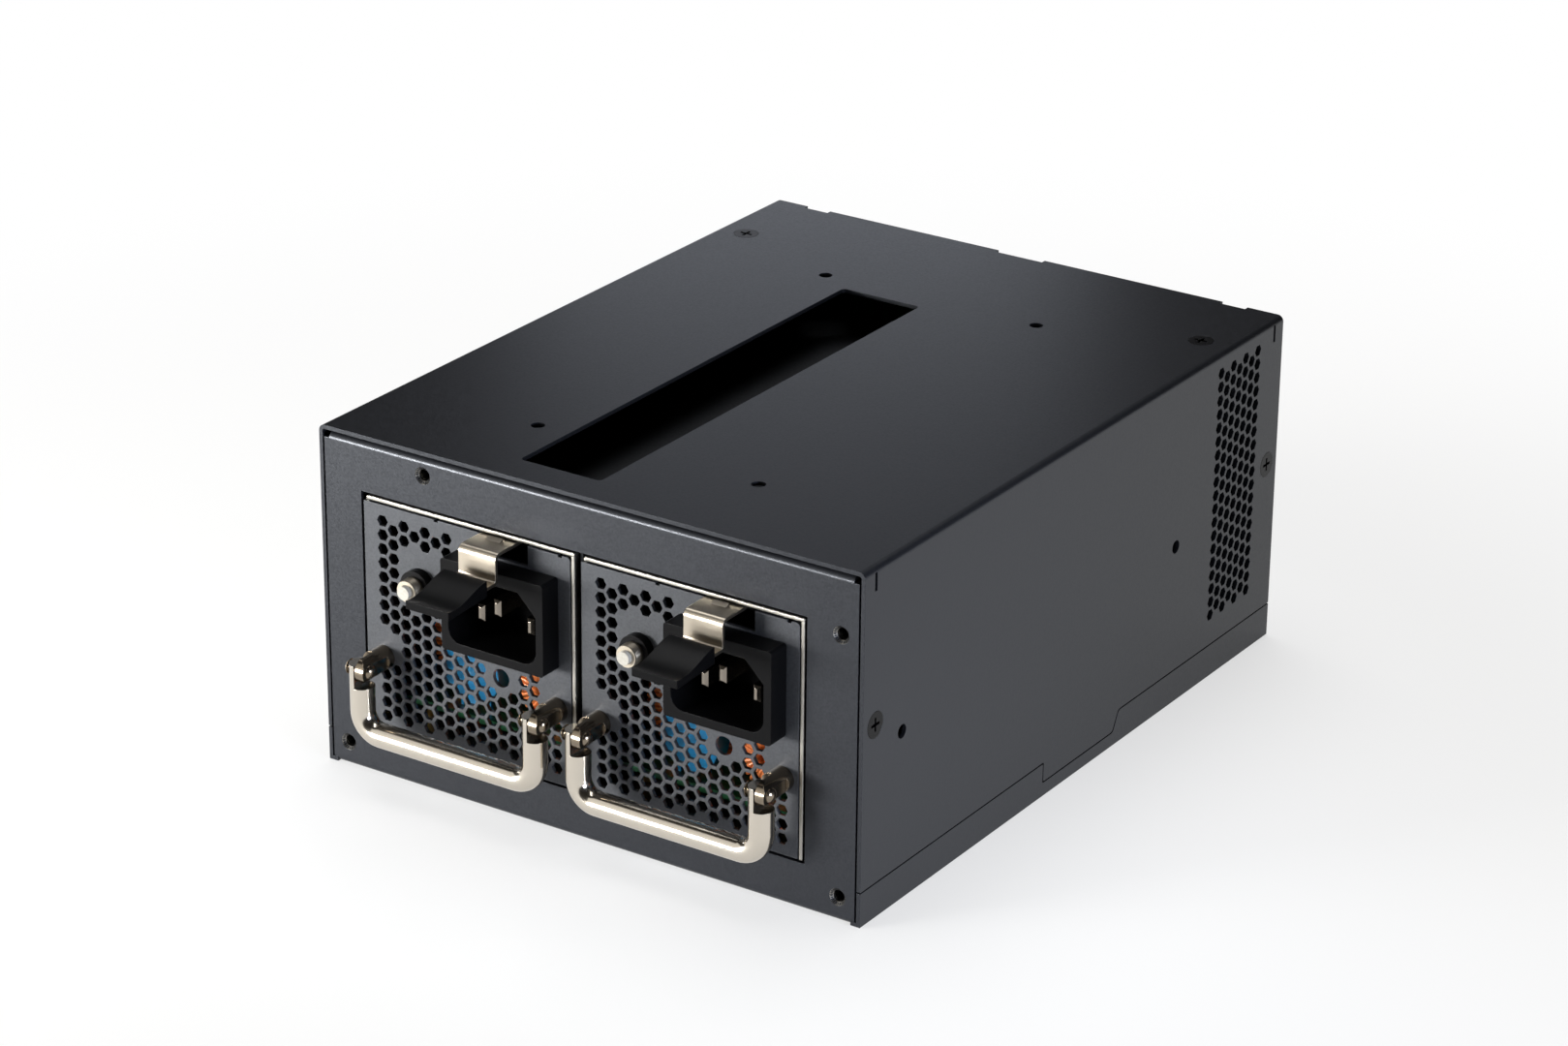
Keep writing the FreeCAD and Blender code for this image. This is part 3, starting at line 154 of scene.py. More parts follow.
class PSU_Details(bpy.types.PropertyGroup):
    """Sizes of the detail that the scene adds to the solids."""

    wire: length("Winding wire", 1.15 * MM, "Diameter of the choke's wire")
    wire_gap: bpy.props.FloatProperty(
        name="Winding pitch", description="Pitch of a choke's turns at its rim, in wire diameters", min=1.0,
        default=1.12)
    winding_arc: bpy.props.FloatProperty(
        name="Winding arc", description="Part of the ring that one winding covers", subtype="ANGLE",
        default=math.radians(150))
    blade_chamfer: length("Blade chamfer", 0.65 * MM, "Chamfer round the tip of an inlet blade")
    bush_radius: length("Bush radius", 2.6 * MM, "Radius of the reset switch's bush")
    thread_pitch: length("Thread pitch", 0.5 * MM, "Pitch of the reset switch's thread")
    thread_depth: length("Thread depth", 0.14 * MM, "Height of the thread's ridge")
    film: length("Film", 0.25 * MM, "Thickness of the films")
    film_gap: length("Film gap", 0.3 * MM, "Film from the parts round it")
    case_wall: length("Case wall", 0.8 * MM, "Sheet of a module's case")
    tray_wall: length("Tray wall", 1.0 * MM, "Sheet of the tray and cover")
    # Sizes of a black sheet put inside the rear wall as painted shade.
    shade_sheet_side: length("Shade sheet side", 7.0 * MM, "Shade sheet from the right side")
    shade_sheet_wide: length("Shade sheet width", 20.0 * MM, "Width of the shade sheet")
    shade_sheet_low: length("Shade sheet low", 33.0 * MM, "Lower edge of the shade sheet over the floor")
    shade_sheet_high: length("Shade sheet high", 59.0 * MM, "Upper edge of the shade sheet over the floor")
    fixing_edge: length("Fixing edge", 6.0 * MM, "Fixing holes from the front wall's edges")
    fixing_down: length("Fixing down", 16.0 * MM, "Upper right hole below the top")
    fixing_in: length("Fixing in", 30.0 * MM, "Upper left hole from the left side")
    fixing_mouth: length("Fixing mouth", 2.15 * MM, "Radius of a fixing hole's chamfered mouth")
    fixing_bore: length("Fixing bore", 1.45 * MM, "Radius of a fixing hole")
    fixing_chamfer: length("Fixing chamfer", 0.7 * MM, "Depth of the mouth's chamfer")
    fixing_deep: length("Fixing depth", 2.8 * MM, "Depth of the tapped hole")
    fixing_pitch: length("Fixing pitch", 0.7 * MM, "Pitch of a fixing hole's thread")
    fixing_ridge: length("Fixing ridge", 0.12 * MM, "Height of that thread's ridge")


class PSU_Studio(bpy.types.PropertyGroup):
    """Camera and light."""

    azimuth: bpy.props.FloatProperty(
        name="Azimuth", description="Camera's turn to the right of the front", subtype="ANGLE",
        default=math.radians(33.425))
    elevation: bpy.props.FloatProperty(
        name="Elevation", description="Camera's height over the horizon", subtype="ANGLE",
        default=math.radians(23.363))
    roll: bpy.props.FloatProperty(
        name="Roll", description="Camera's turn about its own axis", subtype="ANGLE",
        default=math.radians(0.540))
    offset: bpy.props.FloatVectorProperty(
        name="Offset", description="Foot of the front wall's middle, seen from the camera",
        subtype="TRANSLATION", unit="LENGTH", size=3, default=(-0.045656, -0.072925, -1.073647))
    floor: colour("Floor", "#f4f4f3", "Pale floor")
    floor_size: length("Floor size", 14.0, "Side of the floor")
    shadow_near: length("Shadow near", 0.15, "Distance from the middle where the floor starts to fade to white")
    shadow_far: length("Shadow far", 0.42, "Distance from the middle where the floor is plain white")
    shadow_white: bpy.props.FloatProperty(
        name="Shadow white", description="Share of plain white in the floor next to the object", min=0.0, max=1.0,
        default=0.6)
    room: colour("Room", "#26231f", "Dim room round the studio")


def feed(tree, node, inputs):
    """Sets a node's inputs; each takes a value or a link."""
    for name, value in inputs.items():
        socket = node.inputs[name]
        if isinstance(value, bpy.types.NodeSocket):
            tree.links.new(value, socket)
        else:
            socket.default_value = value


def add(tree, kind, settings, inputs):
    """Adds a shader node with its settings and inputs."""
    node = tree.nodes.new("ShaderNode" + kind)
    for name, value in settings.items():
        setattr(node, name, value)
    feed(tree, node, inputs)
    return node


def rgba(value):
    """Four-channel colour from a property or a hex value."""
    return (*(linear(value) if isinstance(value, str) else value), 1.0)


def new_material(name):
    """Empty material with its node tree, Object coordinates and a shader that is linked to the output."""
    material = bpy.data.materials.new(name)
    material.use_nodes = True
    tree = material.node_tree
    tree.nodes.clear()
    output = add(tree, "OutputMaterial", {}, {})
    shader = add(tree, "BsdfPrincipled", {}, {})
    tree.links.new(shader.outputs["BSDF"], output.inputs["Surface"])
    place = add(tree, "TexCoord", {}, {}).outputs["Object"]
    return material, tree, shader, place


def spread_noise(tree, noise, low, high):
    """Noise stretched to run from one value to another."""
    stretched = add(tree, "MapRange", {}, {
        "Value": noise, "From Min": NOISE_LOW, "From Max": NOISE_HIGH, "To Min": low, "To Max": high})
    return stretched.outputs["Result"]


def speckle(tree, place, base, size, dark, light):
    """Base colour times a dark to light factor in small grains; returns the noise and the mixed colour."""
    noise = add(tree, "TexNoise", {}, {
        "Vector": place, "Scale": per_mm(size), "Detail": 3.0, "Roughness": 0.6}).outputs["Fac"]
    mixed = add(tree, "Mix", {"data_type": "RGBA", "blend_type": "MULTIPLY"}, {
        MIX_FACTOR: 1.0, MIX_A: rgba(base), MIX_B: spread_noise(tree, noise, dark, light)})
    return noise, mixed.outputs[MIX_RESULT]


def dulled(tree, base, noise, share):
    """Base colour that a noise draws towards a darker share of itself."""
    return add(tree, "Mix", {"data_type": "RGBA"}, {
        MIX_FACTOR: noise, MIX_A: rgba(base), MIX_B: rgba([c * share for c in base])}).outputs[MIX_RESULT]


def bumped(tree, height, strength, depth, normal=None):
    """Bump from a height, its depth in millimetres."""
    inputs = {"Height": height, "Strength": strength, "Distance": depth * MM}
    if normal is not None:
        inputs["Normal"] = normal
    return add(tree, "Bump", {}, inputs).outputs["Normal"]


def soft_edge(tree, radius):
    """Normal that rolls over sharp edges, as a coat or a deburred edge does; radius in millimetres."""
    return add(tree, "Bevel", {"samples": EDGE_SAMPLES}, {"Radius": radius * MM}).outputs["Normal"]


# In the finishes below, grain, wave and edge are in millimetres.
def powder_coat(name, base, sheen, grain, rough, edge):
    """Polyester powder coat, sprayed and baked: satin, with a fine even grain that sparkles at a flat angle."""
    material, tree, shader, place = new_material(name)
    noise, shade = speckle(tree, place, base, grain, dark=0.82, light=1.25)
    # The real grain is about 0.3 mm, too fine for the picture, so the grain setting is drawn coarser.
    peel = add(tree, "TexNoise", {}, {"Vector": place, "Scale": per_mm(2.2), "Detail": 1.0})
    normal = bumped(tree, peel.outputs["Fac"], strength=0.10, depth=0.05, normal=soft_edge(tree, edge))
    feed(tree, shader, {
        "Base Color": shade, "Roughness": spread_noise(tree, noise, rough - 0.05, rough + 0.06),
        "Normal": bumped(tree, noise, strength=0.22, depth=0.05, normal=normal),
        "Specular IOR Level": 0.36, "Specular Tint": rgba(sheen)})
    return material


def nickel_plate(name, base, rough, edge):
    """Nickel or zinc on drawn, turned or stamped metal: a warm mirror, slightly clouded, with hair-fine rub marks."""
    material, tree, shader, place = new_material(name)
    stretched = add(tree, "Mapping", {}, {"Vector": place, "Scale": (0.15, 1.0, 1.0)})
    rubs = add(tree, "TexNoise", {}, {"Vector": stretched.outputs["Vector"], "Scale": per_mm(0.5), "Detail": 4.0})
    cloud = add(tree, "TexNoise", {}, {"Vector": place, "Scale": per_mm(6.0), "Detail": 2.0}).outputs["Fac"]
    feed(tree, shader, {
        "Base Color": dulled(tree, base, cloud, share=0.93),
        "Roughness": spread_noise(tree, cloud, rough * 0.96, rough * 1.05),
        "Normal": bumped(tree, rubs.outputs["Fac"], strength=0.05, depth=0.02, normal=soft_edge(tree, edge)),
        "Metallic": 1.0})
    return material


def black_oxide(name, base):
    """Black oxide on turned steel: dark, dull metal with a little oil sheen."""
    material, tree, shader, place = new_material(name)
    noise, shade = speckle(tree, place, base, size=0.4, dark=0.8, light=1.25)
    edge = soft_edge(tree, radius=0.12)
    feed(tree, shader, {
        "Base Color": shade, "Normal": bumped(tree, noise, strength=0.1, depth=0.03, normal=edge),
        "Metallic": 1.0, "Roughness": 0.38})
    return material


def moulded_plastic(name, base, rough, grain):
    """Moulded plastic, film or coated ferrite: even colour, fine grain and soft edges that catch the light."""
    material, tree, shader, place = new_material(name)
    noise, shade = speckle(tree, place, base, grain, dark=0.9, light=1.12)
    edge = soft_edge(tree, radius=0.25)
    feed(tree, shader, {
        "Base Color": shade, "Normal": bumped(tree, noise, strength=0.12, depth=0.03, normal=edge),
        "Roughness": rough, "Specular IOR Level": 0.08})
    return material


def solder_mask(name, base):
    """Solder mask over copper on glass laminate: glossy green with lighter tracks underneath."""
    material, tree, shader, place = new_material(name)
    tracks = add(tree, "TexBrick", {"offset": 0.5, "squash": 0.6}, {
        "Vector": place, "Scale": per_mm(9.0), "Color1": rgba(base), "Color2": rgba([c * 0.8 for c in base]),
        "Mortar": rgba([min(1.0, c * 1.9) for c in base]), "Mortar Size": 0.08})
    feed(tree, shader, {
        "Base Color": tracks.outputs["Color"],
        "Normal": bumped(tree, tracks.outputs["Fac"], strength=0.3, depth=0.04),
        "Roughness": 0.3, "Coat Weight": 0.5})
    return material


def glossy_skin(name, base, rough, wave):
    """Dipped epoxy or shrink sleeve: a wet gloss over slow waves left by dipping or shrinking."""
    material, tree, shader, place = new_material(name)
    slow = add(tree, "TexNoise", {}, {"Vector": place, "Scale": per_mm(wave), "Detail": 2.0}).outputs["Fac"]
    feed(tree, shader, {
        "Base Color": dulled(tree, base, slow, share=0.75),
        "Normal": bumped(tree, slow, strength=0.15, depth=0.1),
        "Roughness": rough, "Coat Weight": 0.4})
    return material


def enamelled_copper(name, base):
    """Magnet wire: copper seen through clear enamel, in small grains of lighter and darker tone."""
    material, tree, shader, place = new_material(name)
    noise, shade = speckle(tree, place, base, size=1.2, dark=0.8, light=1.2)
    feed(tree, shader, {
        "Base Color": shade, "Normal": bumped(tree, noise, strength=0.08, depth=0.03),
        "Metallic": 0.15, "Roughness": 0.3, "Coat Weight": 0.6})
    return material


def extruded_metal(name, base, rough):
    """Extruded or turned metal, bare or thinly plated: drawn lines along its length blur its reflections."""
    material, tree, shader, place = new_material(name)
    drawn = add(tree, "Mapping", {}, {"Vector": place, "Scale": (1.0, 0.04, 1.0)})
    lines = add(tree, "TexNoise", {}, {
        "Vector": drawn.outputs["Vector"], "Scale": per_mm(0.4), "Detail": 3.0}).outputs["Fac"]
    feed(tree, shader, {
        "Base Color": dulled(tree, base, lines, share=0.85),
        "Normal": bumped(tree, lines, strength=0.15, depth=0.03),
        "Metallic": 1.0, "Roughness": rough})
    return material


def dress(names, material):
    """Gives CAD nodes a material."""
    for name in names:
        slots = NODES[name].data.materials
        slots.clear()
        slots.append(material)


def both(*names):
    """A node's name in each module."""
    return [side + "_" + name for side in SIDES for name in names]


def solids_of(name):
    """Points of each separate solid of a node, from left to right."""
    bm = bmesh.new()
    bm.from_mesh(NODES[name].data)
    bm.transform(NODES[name].matrix_world)
    bmesh.ops.remove_doubles(bm, verts=bm.verts, dist=WELD)
    rest = set(bm.verts)
    solids = []
    while rest:
        reached = [rest.pop()]
        for vert in reached:
            beside = {edge.other_vert(vert) for edge in vert.link_edges} & rest
            rest -= beside
            reached += beside
        solids.append([vert.co.copy() for vert in reached])
    bm.free()
    return sorted(solids, key=lambda points: min(p.x for p in points))


def mesh_piece(name, bm, materials, body, smooth=True):
    """Object from a bmesh that rides on a CAD body."""
    mesh = bpy.data.meshes.new(name)
    bm.to_mesh(mesh)
    bm.free()
    for polygon in mesh.polygons:
        polygon.use_smooth = smooth
    piece = bpy.data.objects.new(name, mesh)
    for material in materials:
        mesh.materials.append(material)
    bpy.context.scene.collection.objects.link(piece)
    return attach(piece, body)


def span(points):
    """Lowest and highest corner round a list of points."""
    return [Vector([pick(p[i] for p in points) for i in range(3)]) for pick in (min, max)]


def spoke(turn):
    """Unit vector at an angle round the y axis."""
    return Vector((math.cos(turn), 0.0, math.sin(turn)))


def sweep(bm, path, radius):
    """Round tube along a closed list of points."""
    rings = []
    count = len(path)
    for i, point in enumerate(path):
        along = (path[(i + 1) % count] - path[i - 1]).normalized()
        across = along.cross(Vector((0, 0, 1)))
        if across.length < STEEP:
            across = along.cross(Vector((0, 1, 0)))
        across.normalize()
        up = along.cross(across)
        ring = []
        for k in range(WIRE_SIDES):
            turn = 2 * math.pi * k / WIRE_SIDES
            ring.append(bm.verts.new(point + radius * (across * math.cos(turn) + up * math.sin(turn))))
        rings.append(ring)
    for i in range(count):
        a, b = rings[i], rings[(i + 1) % count]
        for k in range(WIRE_SIDES):
            n = (k + 1) % WIRE_SIDES
            bm.faces.new((a[k], b[k], b[n], a[n]))


def slab(bm, low, high):
    """Plain box between two corners; gives back the edges of its front face."""
    xs, ys, zs = zip(low, high)
    corners = {}
    for i in (0, 1):
        for j in (0, 1):
            for k in (0, 1):
                corners[i, j, k] = bm.verts.new((xs[i], ys[j], zs[k]))
    for a, b, c, d in (((0, 0, 0), (0, 0, 1), (0, 1, 1), (0, 1, 0)), ((1, 0, 0), (1, 1, 0), (1, 1, 1), (1, 0, 1)),
                       ((0, 0, 0), (1, 0, 0), (1, 0, 1), (0, 0, 1)), ((0, 1, 0), (0, 1, 1), (1, 1, 1), (1, 1, 0)),
                       ((0, 0, 0), (0, 1, 0), (1, 1, 0), (1, 0, 0)), ((0, 0, 1), (1, 0, 1), (1, 1, 1), (0, 1, 1))):
        bm.faces.new((corners[a], corners[b], corners[c], corners[d]))
    front = [corners[i, 0, k] for i, k in ((0, 0), (1, 0), (1, 1), (0, 1))]
    return [bm.edges.get((front[n - 1], front[n])) for n in range(len(front))]


def lathe(bm, axis, profile):
    """Surface turned about a line along y; the profile gives radius and distance behind the axis point."""
    rows = []
    for i in range(LATHE_STEPS):
        out = spoke(2 * math.pi * i / LATHE_STEPS)
        rows.append([bm.verts.new(axis + out * r + Vector((0, y, 0))) for r, y in profile])
    for i in range(LATHE_STEPS):
        a, b = rows[i], rows[(i + 1) % LATHE_STEPS]
        for k in range(len(profile) - 1):
            bm.faces.new((a[k], b[k], b[k + 1], a[k + 1]))


def helix(bm, axis, radius, pitch, reach, height):
    """Thread ridge along y from the axis point; a negative height points into a bore."""
    turns = reach / pitch - 1
    steps = int(turns * THREAD_STEPS)
    half = pitch * THREAD_HALF
    foot = math.copysign(FILM, height)
    last = None
    for i in range(steps + 1):
        out = spoke(2 * math.pi * turns * i / steps)
        y = pitch / 2 + (reach - pitch) * i / steps
        fade = min(1.0, i / THREAD_FADE, (steps - i) / THREAD_FADE)
        row = []
        for dy, rise in ((-half, foot), (0.0, foot + height * fade), (half, foot)):
            row.append(bm.verts.new(axis + Vector((0, y + dy, 0)) + out * (radius + rise)))
        if last:
            for a, b in ((0, 1), (1, 2)):
                bm.faces.new((last[a], last[b], row[b], row[a]))
        last = row


class PSU_OT_chassis(bpy.types.Operator):
    """Coat the tray, the cover and what stands inside them"""

    bl_idname = "psu.chassis"
    bl_label = "Chassis"

    def execute(self, context):
        look = context.scene.psu_finishes
        grain = look.coat_grain / MM
        dress(["chassis_tray", "top_cover"],
              powder_coat("Satin black powder coat", look.coat, look.sheen, grain, rough=0.34, edge=0.1))
        # Bay cage and brackets in near black: painted shade for the dark gaps round the modules and under the cover's
        # slot.
        dress(["bay_cage", "cover_brackets"],
              powder_coat("Dull black coat, painted shade", look.shade_lining, look.sheen, grain, rough=0.6, edge=0.2))
        dress(["cover_screws"], black_oxide("Black oxide steel", look.steel))
        self.fixings(context.scene.psu_details, extruded_metal("Tapped bare steel", look.bare, rough=0.3))
        # Black sheet inside the rear wall: painted shade for the inside seen through the vents.
        self.painted_shade_sheet(context.scene.psu_details,
                       moulded_plastic("Black sheet of painted shade", look.shade_lining, rough=0.35, grain=1.5))
        dress(["outlet_grommet", "board_sockets", "alarm_buzzer"],
              moulded_plastic("Moulded black nylon", look.moulding, rough=0.5, grain=0.6))
        dress(["distribution_board"], solder_mask("Solder mask, distribution board", look.mask))
        dress(["output_capacitors"],
              glossy_skin("Shrink sleeve, output capacitors", look.sleeve, rough=0.25, wave=4.0))
        return {"FINISHED"}

    def fixings(self, sizes, material):
        """Bare chamfer and thread in each fixing hole of the front wall."""
        low, high = CAD_LOW, CAD_HIGH
        edge = sizes.fixing_edge
        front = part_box("chassis_tray")[0].y
        bm = bmesh.new()
        for x, z in ((low.x + edge, low.z + edge), (high.x - edge, low.z + edge),
                     (high.x - edge, high.z - sizes.fixing_down), (low.x + sizes.fixing_in, high.z - edge)):
            axis = Vector((x, front, z))
            lathe(bm, axis, [(sizes.fixing_mouth - FILM, FILM),
                             (sizes.fixing_bore - FILM, sizes.fixing_chamfer + FILM)])
            helix(bm, axis + Vector((0, sizes.fixing_chamfer, 0)), sizes.fixing_bore, sizes.fixing_pitch,
                  sizes.fixing_deep - sizes.fixing_chamfer, -sizes.fixing_ridge)
        piece = mesh_piece("fixing_threads", bm, [material], "chassis")

    def painted_shade_sheet(self, sizes, material):
        """Black sheet inside the rear wall over its last slots: painted shade, a dark sheet put there so that the
        inside seen through the side vents stays dark.
        """
        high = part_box("chassis_tray")[1]
        right = high.x - sizes.shade_sheet_side
        inner = high.y - sizes.tray_wall - FILM
        bm = bmesh.new()
        slab(bm, (right - sizes.shade_sheet_wide, inner - sizes.film, sizes.shade_sheet_low), (right, inner, sizes.shade_sheet_high))
        piece = mesh_piece("painted_shade_film", bm, [material], "chassis", smooth=False)


class PSU_OT_panels(bpy.types.Operator):
    """Coat the perforated panels and plate the module cases"""

    bl_idname = "psu.panels"
    bl_label = "Module sheet metal"

    def execute(self, context):
        look = context.scene.psu_finishes
        dress(both("module_panel"),
              powder_coat("Satin black panel coat", look.panel, look.sheen, look.coat_grain / MM, rough=0.42,
                          edge=0.2))
        dress(both("module_case", "module_lid", "lid_screws"),
              nickel_plate("Zinc plated sheet", look.zinc, rough=0.36, edge=0.5))
        # The films' black is painted shade for the dark inside of the modules.
        film = moulded_plastic("Black insulating film, painted shade", look.shade_lining, rough=0.35, grain=1.5)
        for side in SIDES:
            self.film(side, context.scene.psu_details, film)
        return {"FINISHED"}

    def film(self, side, sizes, material):
        """Black insulating film along the walls of a module, above its board; its black is painted shade that darkens
        the module's inside.
        """
        low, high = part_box(side + "_module_case")
        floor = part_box(side + "_module_board")[1].z + sizes.film_gap
        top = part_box(side + "_lid_screws")[0].z - sizes.film_gap
        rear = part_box(side + "_fan_frame")[0].y - sizes.film_gap
        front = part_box(side + "_module_panel")[1].y + sizes.film_gap
        inset = sizes.case_wall + sizes.film_gap
        bm = bmesh.new()
        for x in (low.x + inset, high.x - inset):
            slab(bm, (x - sizes.film / 2, front, floor), (x + sizes.film / 2, rear, top))
        piece = mesh_piece(side + "_insulating_shade_film", bm, [material], side + "_module", smooth=False)


class PSU_OT_handles(bpy.types.Operator):
    """Plate the pull handles, their posts and rivets, and the latch strips"""

    bl_idname = "psu.handles"
    bl_label = "Handles and latches"

    def execute(self, context):
        look = context.scene.psu_finishes
        dress(both("handle"), nickel_plate("Bright nickel plate", look.nickel, rough=0.17, edge=0.15))
        # Darker copy of the handle's nickel on the posts and pins: painted shade.
        dress(both("handle_posts", "handle_pins"),
              nickel_plate("Nickel on turned steel, darkened as painted shade", look.post, rough=0.2, edge=0.15))
        dress(both("latch_spring"), nickel_plate("Satin nickel on spring steel", look.spring, rough=0.3, edge=0.2))
        dress(both("latch_tab"), moulded_plastic("Moulded black thumb tab", look.moulding, rough=0.3, grain=0.5))
        return {"FINISHED"}


class PSU_OT_inlets(bpy.types.Operator):
    """Finish the mains inlets and their blades"""

    bl_idname = "psu.inlets"
    bl_label = "Mains inlets"

    def execute(self, context):
        look = context.scene.psu_finishes
        dress(both("inlet_housing"), moulded_plastic("Moulded black PBT", look.moulding, rough=0.32, grain=0.5))
        # Darkened nickel on the blades: painted shade.
        plated = nickel_plate("Nickel plated brass, darkened as painted shade", look.blade, rough=0.2, edge=0.1)
        for side in SIDES:
            self.blades(side, context.scene.psu_details, plated)
        return {"FINISHED"}

    def blades(self, side, sizes, material):
        """Blades with chamfered tips."""
        bm = bmesh.new()
        for points in solids_of(side + "_inlet_blades"):
            tip = slab(bm, *span(points))
            bmesh.ops.bevel(bm, geom=tip, offset=sizes.blade_chamfer, offset_type="OFFSET", segments=1,
                            profile=0.5, affect="EDGES")
        piece = mesh_piece(side + "_chamfered_blades", bm, [material], side + "_module", smooth=False)
        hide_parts(side + "_inlet_blades")


class PSU_OT_switches(bpy.types.Operator):
    """Finish the reset switches and cut their threads"""

    bl_idname = "psu.switches"
    bl_label = "Reset switches"

    def execute(self, context):
        look = context.scene.psu_finishes
        sizes = context.scene.psu_details
        plated = extruded_metal("Plated switch bush", look.bush, rough=0.42)
        dress(both("reset_switch"), plated)
        dress(both("reset_nut"), moulded_plastic("Moulded black nut", look.moulding, rough=0.45, grain=0.5))
        dress(both("reset_button"), moulded_plastic("Moulded pale grey ABS", look.button, rough=0.4, grain=0.6))
        for side in SIDES:
            self.thread(side, sizes, plated)
        return {"FINISHED"}

    def thread(self, side, sizes, material):
        """Helical ridge round the bush, from its end to the nut."""
        button_low, button_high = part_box(side + "_reset_button")
        axis = (button_low + button_high) / 2
        axis.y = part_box(side + "_reset_switch")[0].y
        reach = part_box(side + "_reset_nut")[0].y - axis.y
        bm = bmesh.new()
        helix(bm, axis, sizes.bush_radius, sizes.thread_pitch, reach, sizes.thread_depth)
        piece = mesh_piece(side + "_bush_thread", bm, [material], side + "_module")


class PSU_OT_chokes(bpy.types.Operator):
    """Wind the mains chokes: ring cores with copper wire on both halves"""

    bl_idname = "psu.chokes"
    bl_label = "Wound chokes"

    def execute(self, context):
        look = context.scene.psu_finishes
        copper = enamelled_copper("Enamelled copper wire", look.copper)
        ferrite = moulded_plastic("Coated ferrite ring", look.core, rough=0.5, grain=0.8)
        for side in SIDES:
            bm = bmesh.new()
            for points in solids_of(side + "_input_choke"):
                self.wind(bm, points, context.scene.psu_details)
            piece = mesh_piece(side + "_choke_windings", bm, [copper, ferrite], side + "_module")
            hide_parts(side + "_input_choke")
        return {"FINISHED"}

    def wind(self, bm, points, sizes):
        """One wound ring in the place of a plain one."""
        low, high = span(points)
        middle = (low + high) / 2
        bore = min(math.hypot(p.x - middle.x, p.z - middle.z) for p in points)
        outer = (high.x - low.x) / 2 - sizes.wire
        inner = bore + sizes.wire
        half = (high.y - low.y) / 2 - sizes.wire
        section = [(inner, -half), (outer, -half), (outer, half), (inner, half)]
        rings = []
        for i in range(RING_STEPS):
            out = spoke(2 * math.pi * i / RING_STEPS)
            rings.append([bm.verts.new(middle + out * r + Vector((0, y, 0))) for r, y in section])
        for i in range(RING_STEPS):
            a, b = rings[i], rings[(i + 1) % RING_STEPS]
            for k in range(len(section)):
                n = (k + 1) % len(section)
                bm.faces.new((a[k], a[n], b[n], b[k])).material_index = 1
        radius = sizes.wire / 2
        turns = int(sizes.winding_arc * outer / (sizes.wire * sizes.wire_gap))
        for centre in (0.0, math.pi):
            for i in range(turns):
                turn = centre + sizes.winding_arc * (i / (turns - 1) - 0.5)
                self.loop(bm, middle, turn, inner - radius, outer + radius, half + radius, radius)

    def loop(self, bm, middle, turn, inner, outer, half, radius):
        """One turn of wire round the ring's section, its corners rounded."""
        out = spoke(turn)
        corner = radius * WIRE_BEND
        path = []
        for r, y, first in ((outer - corner, half - corner, 0), (inner + corner, half - corner, 1),
                            (inner + corner, corner - half, 2), (outer - corner, corner - half, 3)):
            for k in range(BEND_STEPS):
                bend = math.pi / 2 * (first + k / (BEND_STEPS - 1))
                reach = r + corner * math.cos(bend)
                path.append(middle + out * reach + Vector((0, y + corner * math.sin(bend), 0)))
        sweep(bm, path, radius)


class PSU_OT_inside(bpy.types.Operator):
    """Finish the boards and the larger parts on them"""

    bl_idname = "psu.inside"
    bl_label = "Boards and inner parts"

    def execute(self, context):
        look = context.scene.psu_finishes
        dress(both("module_board"), solder_mask("Solder mask, module board", look.mask))
        dress(both("board_standoffs"), extruded_metal("Turned brass", look.brass, rough=0.3))
        dress(both("varistor"), glossy_skin("Blue dipped epoxy", look.disc, rough=0.3, wave=5.0))
        dress(both("bulk_capacitor"),
              glossy_skin("Shrink sleeve, storage capacitor", look.sleeve, rough=0.25, wave=6.0))
        dress(both("transformer"), moulded_plastic("Ferrite and tape", look.core, rough=0.5, grain=1.0))
        dress(both("heat_sinks"), extruded_metal("Extruded aluminium", look.aluminium, rough=0.35))
        dress(both("fan_frame", "fan_rotor"),
              moulded_plastic("Moulded black fan plastic", look.moulding, rough=0.5, grain=0.7))
        return {"FINISHED"}


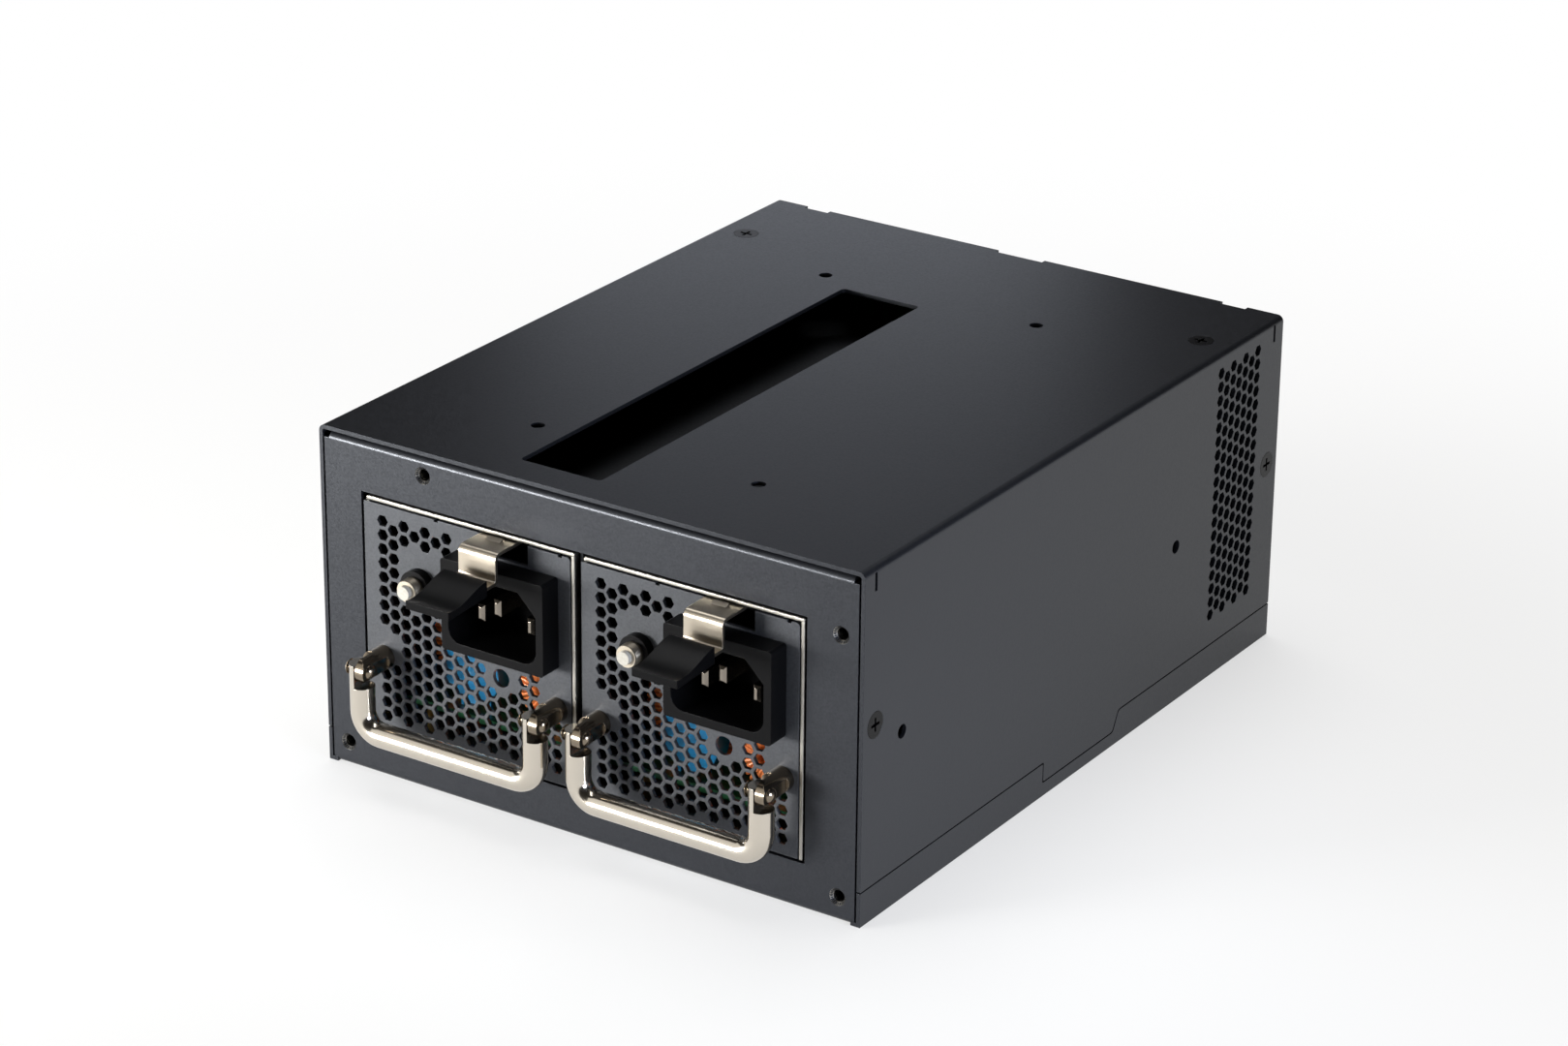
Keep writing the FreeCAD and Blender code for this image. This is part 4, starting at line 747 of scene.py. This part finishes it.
class PSU_OT_stage(bpy.types.Operator):
    """Set the floor, the studio light and the camera"""

    bl_idname = "psu.stage"
    bl_label = "Studio"

    def execute(self, context):
        studio = context.scene.psu_studio
        self.floor(context, studio)
        self.world(context)
        for soft_box in SOFT_BOXES:
            self.lamp(context, *soft_box)
        self.camera(context, studio)
        context.scene.view_settings.view_transform = "Standard"
        return {"FINISHED"}

    def floor(self, context, studio):
        """Pale paper floor that turns to a white background away from the object."""
        half = studio.floor_size / 2
        bm = bmesh.new()
        corners = [(-half, -half), (half, -half), (half, half), (-half, half)]
        bm.faces.new([bm.verts.new((x, y, -FLOOR_GAP)) for x, y in corners])
        mesh = bpy.data.meshes.new("floor")
        bm.to_mesh(mesh)
        bm.free()
        material, tree, shader, place = new_material("Matt white paper")
        feed(tree, shader, {"Base Color": rgba(studio.floor), "Roughness": 0.9, "Specular IOR Level": 0.1})
        # The background: seen by the camera, in metal or through glass, the paper fades to plain white round the
        # object's shadow.
        ray = add(tree, "LightPath", {}, {})
        mirrored = add(tree, "Math", {"operation": "MAXIMUM"}, {
            0: ray.outputs["Is Glossy Ray"], 1: ray.outputs["Is Transmission Ray"]})
        seen = add(tree, "Math", {"operation": "MAXIMUM"}, {
            0: ray.outputs["Is Camera Ray"], 1: mirrored.outputs["Value"]})
        away = add(tree, "VectorMath", {"operation": "LENGTH"}, {0: place})
        fade = add(tree, "MapRange", {"interpolation_type": "SMOOTHSTEP"}, {
            "Value": away.outputs["Value"], "From Min": studio.shadow_near, "From Max": studio.shadow_far,
            "To Min": studio.shadow_white, "To Max": 1.0})
        share = add(tree, "Math", {"operation": "MULTIPLY"}, {
            0: seen.outputs["Value"], 1: fade.outputs["Result"]})
        white = add(tree, "Emission", {}, {"Color": rgba("#ffffff"), "Strength": 1.0})
        surface = shader.outputs["BSDF"].links[0].to_socket
        paper = add(tree, "MixShader", {}, {
            0: share.outputs["Value"], 1: shader.outputs["BSDF"], 2: white.outputs["Emission"]})
        tree.links.new(paper.outputs["Shader"], surface)
        mesh.materials.append(material)
        floor = bpy.data.objects.new("floor", mesh)
        context.scene.collection.objects.link(floor)

    def world(self, context):
        """Dim room, so that only the soft boxes and the floor are mirrored."""
        world = bpy.data.worlds.new("Studio")
        world.use_nodes = True
        tree = world.node_tree
        tree.nodes.clear()
        glow = add(tree, "Background", {}, {"Color": rgba(context.scene.psu_studio.room), "Strength": 1.0})
        output = add(tree, "OutputWorld", {}, {})
        tree.links.new(glow.outputs["Background"], output.inputs["Surface"])
        context.scene.world = world

    def lamp(self, context, name, place, aim, width, depth, power, spread, tint):
        """Rectangular soft box aimed at a point; a spread under 180 degrees is a grid on its front."""
        light = bpy.data.lights.new(name, "AREA")
        light.shape = "RECTANGLE"
        light.size = width
        light.size_y = depth
        light.energy = power
        light.spread = math.radians(spread)
        light.color = linear(tint)
        lamp = bpy.data.objects.new(name, light)
        lamp.location = place
        lamp.visible_camera = False
        lamp.rotation_mode = "QUATERNION"
        lamp.rotation_quaternion = (Vector(aim) - Vector(place)).to_track_quat("-Z", "Y")
        context.scene.collection.objects.link(lamp)

    def camera(self, context, studio):
        """Camera where the photograph was taken from."""
        a, e = studio.azimuth, studio.elevation
        back = Vector((math.sin(a) * math.cos(e), -math.cos(a) * math.cos(e), math.sin(e)))
        right = (-back).cross(Vector((0, 0, 1))).normalized()
        up = right.cross(-back)
        turn = Matrix.Rotation(-studio.roll, 3, "Z") @ Matrix((right, up, back))
        front = Vector((0.0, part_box("chassis_tray")[0].y, 0.0))
        data = bpy.data.cameras.new("Camera")
        data.sensor_width = SENSOR
        data.lens = FOCAL_PIXELS / PHOTO_WIDTH * SENSOR
        data.clip_start = CLIP_NEAR
        data.clip_end = CLIP_FAR
        camera = bpy.data.objects.new("Camera", data)
        camera.matrix_world = Matrix.Translation(
            front - turn.transposed() @ Vector(studio.offset)) @ turn.transposed().to_4x4()
        context.scene.collection.objects.link(camera)
        context.scene.camera = camera


PIECES = (PSU_OT_chassis, PSU_OT_panels, PSU_OT_handles, PSU_OT_inlets, PSU_OT_switches, PSU_OT_chokes,
          PSU_OT_inside, PSU_OT_stage)
GROUPS = {"psu_finishes": PSU_Finishes, "psu_details": PSU_Details, "psu_studio": PSU_Studio}


class PSU_PT_panel(bpy.types.Panel):
    """Lists the settings and the operators"""

    bl_idname = "PSU_PT_panel"
    bl_label = "Power supply"
    bl_space_type = "VIEW_3D"
    bl_region_type = "UI"
    bl_category = "Power supply"

    def draw(self, context):
        for key in GROUPS:
            group = getattr(context.scene, key)
            box = self.layout.box()
            for name in group.bl_rna.properties.keys():
                if name not in {"rna_type", "name"}:
                    box.prop(group, name)
        for piece in PIECES:
            self.layout.operator(piece.bl_idname)


def register():
    """Registers the settings, operators and panel."""
    for key, group in GROUPS.items():
        bpy.utils.register_class(group)
        setattr(bpy.types.Scene, key, bpy.props.PointerProperty(type=group))
    for piece in (*PIECES, PSU_PT_panel):
        bpy.utils.register_class(piece)


def unregister():
    """Takes them out again."""
    for piece in (PSU_PT_panel, *reversed(PIECES)):
        bpy.utils.unregister_class(piece)
    for key, group in GROUPS.items():
        delattr(bpy.types.Scene, key)
        bpy.utils.unregister_class(group)


def main():
    """Builds the looks on the frame."""
    register()
    bpy.ops.psu.chassis()
    bpy.ops.psu.panels()
    bpy.ops.psu.handles()
    bpy.ops.psu.inlets()
    bpy.ops.psu.switches()
    bpy.ops.psu.chokes()
    bpy.ops.psu.inside()
    bpy.ops.psu.stage()


if __name__ == "__main__":
    main()
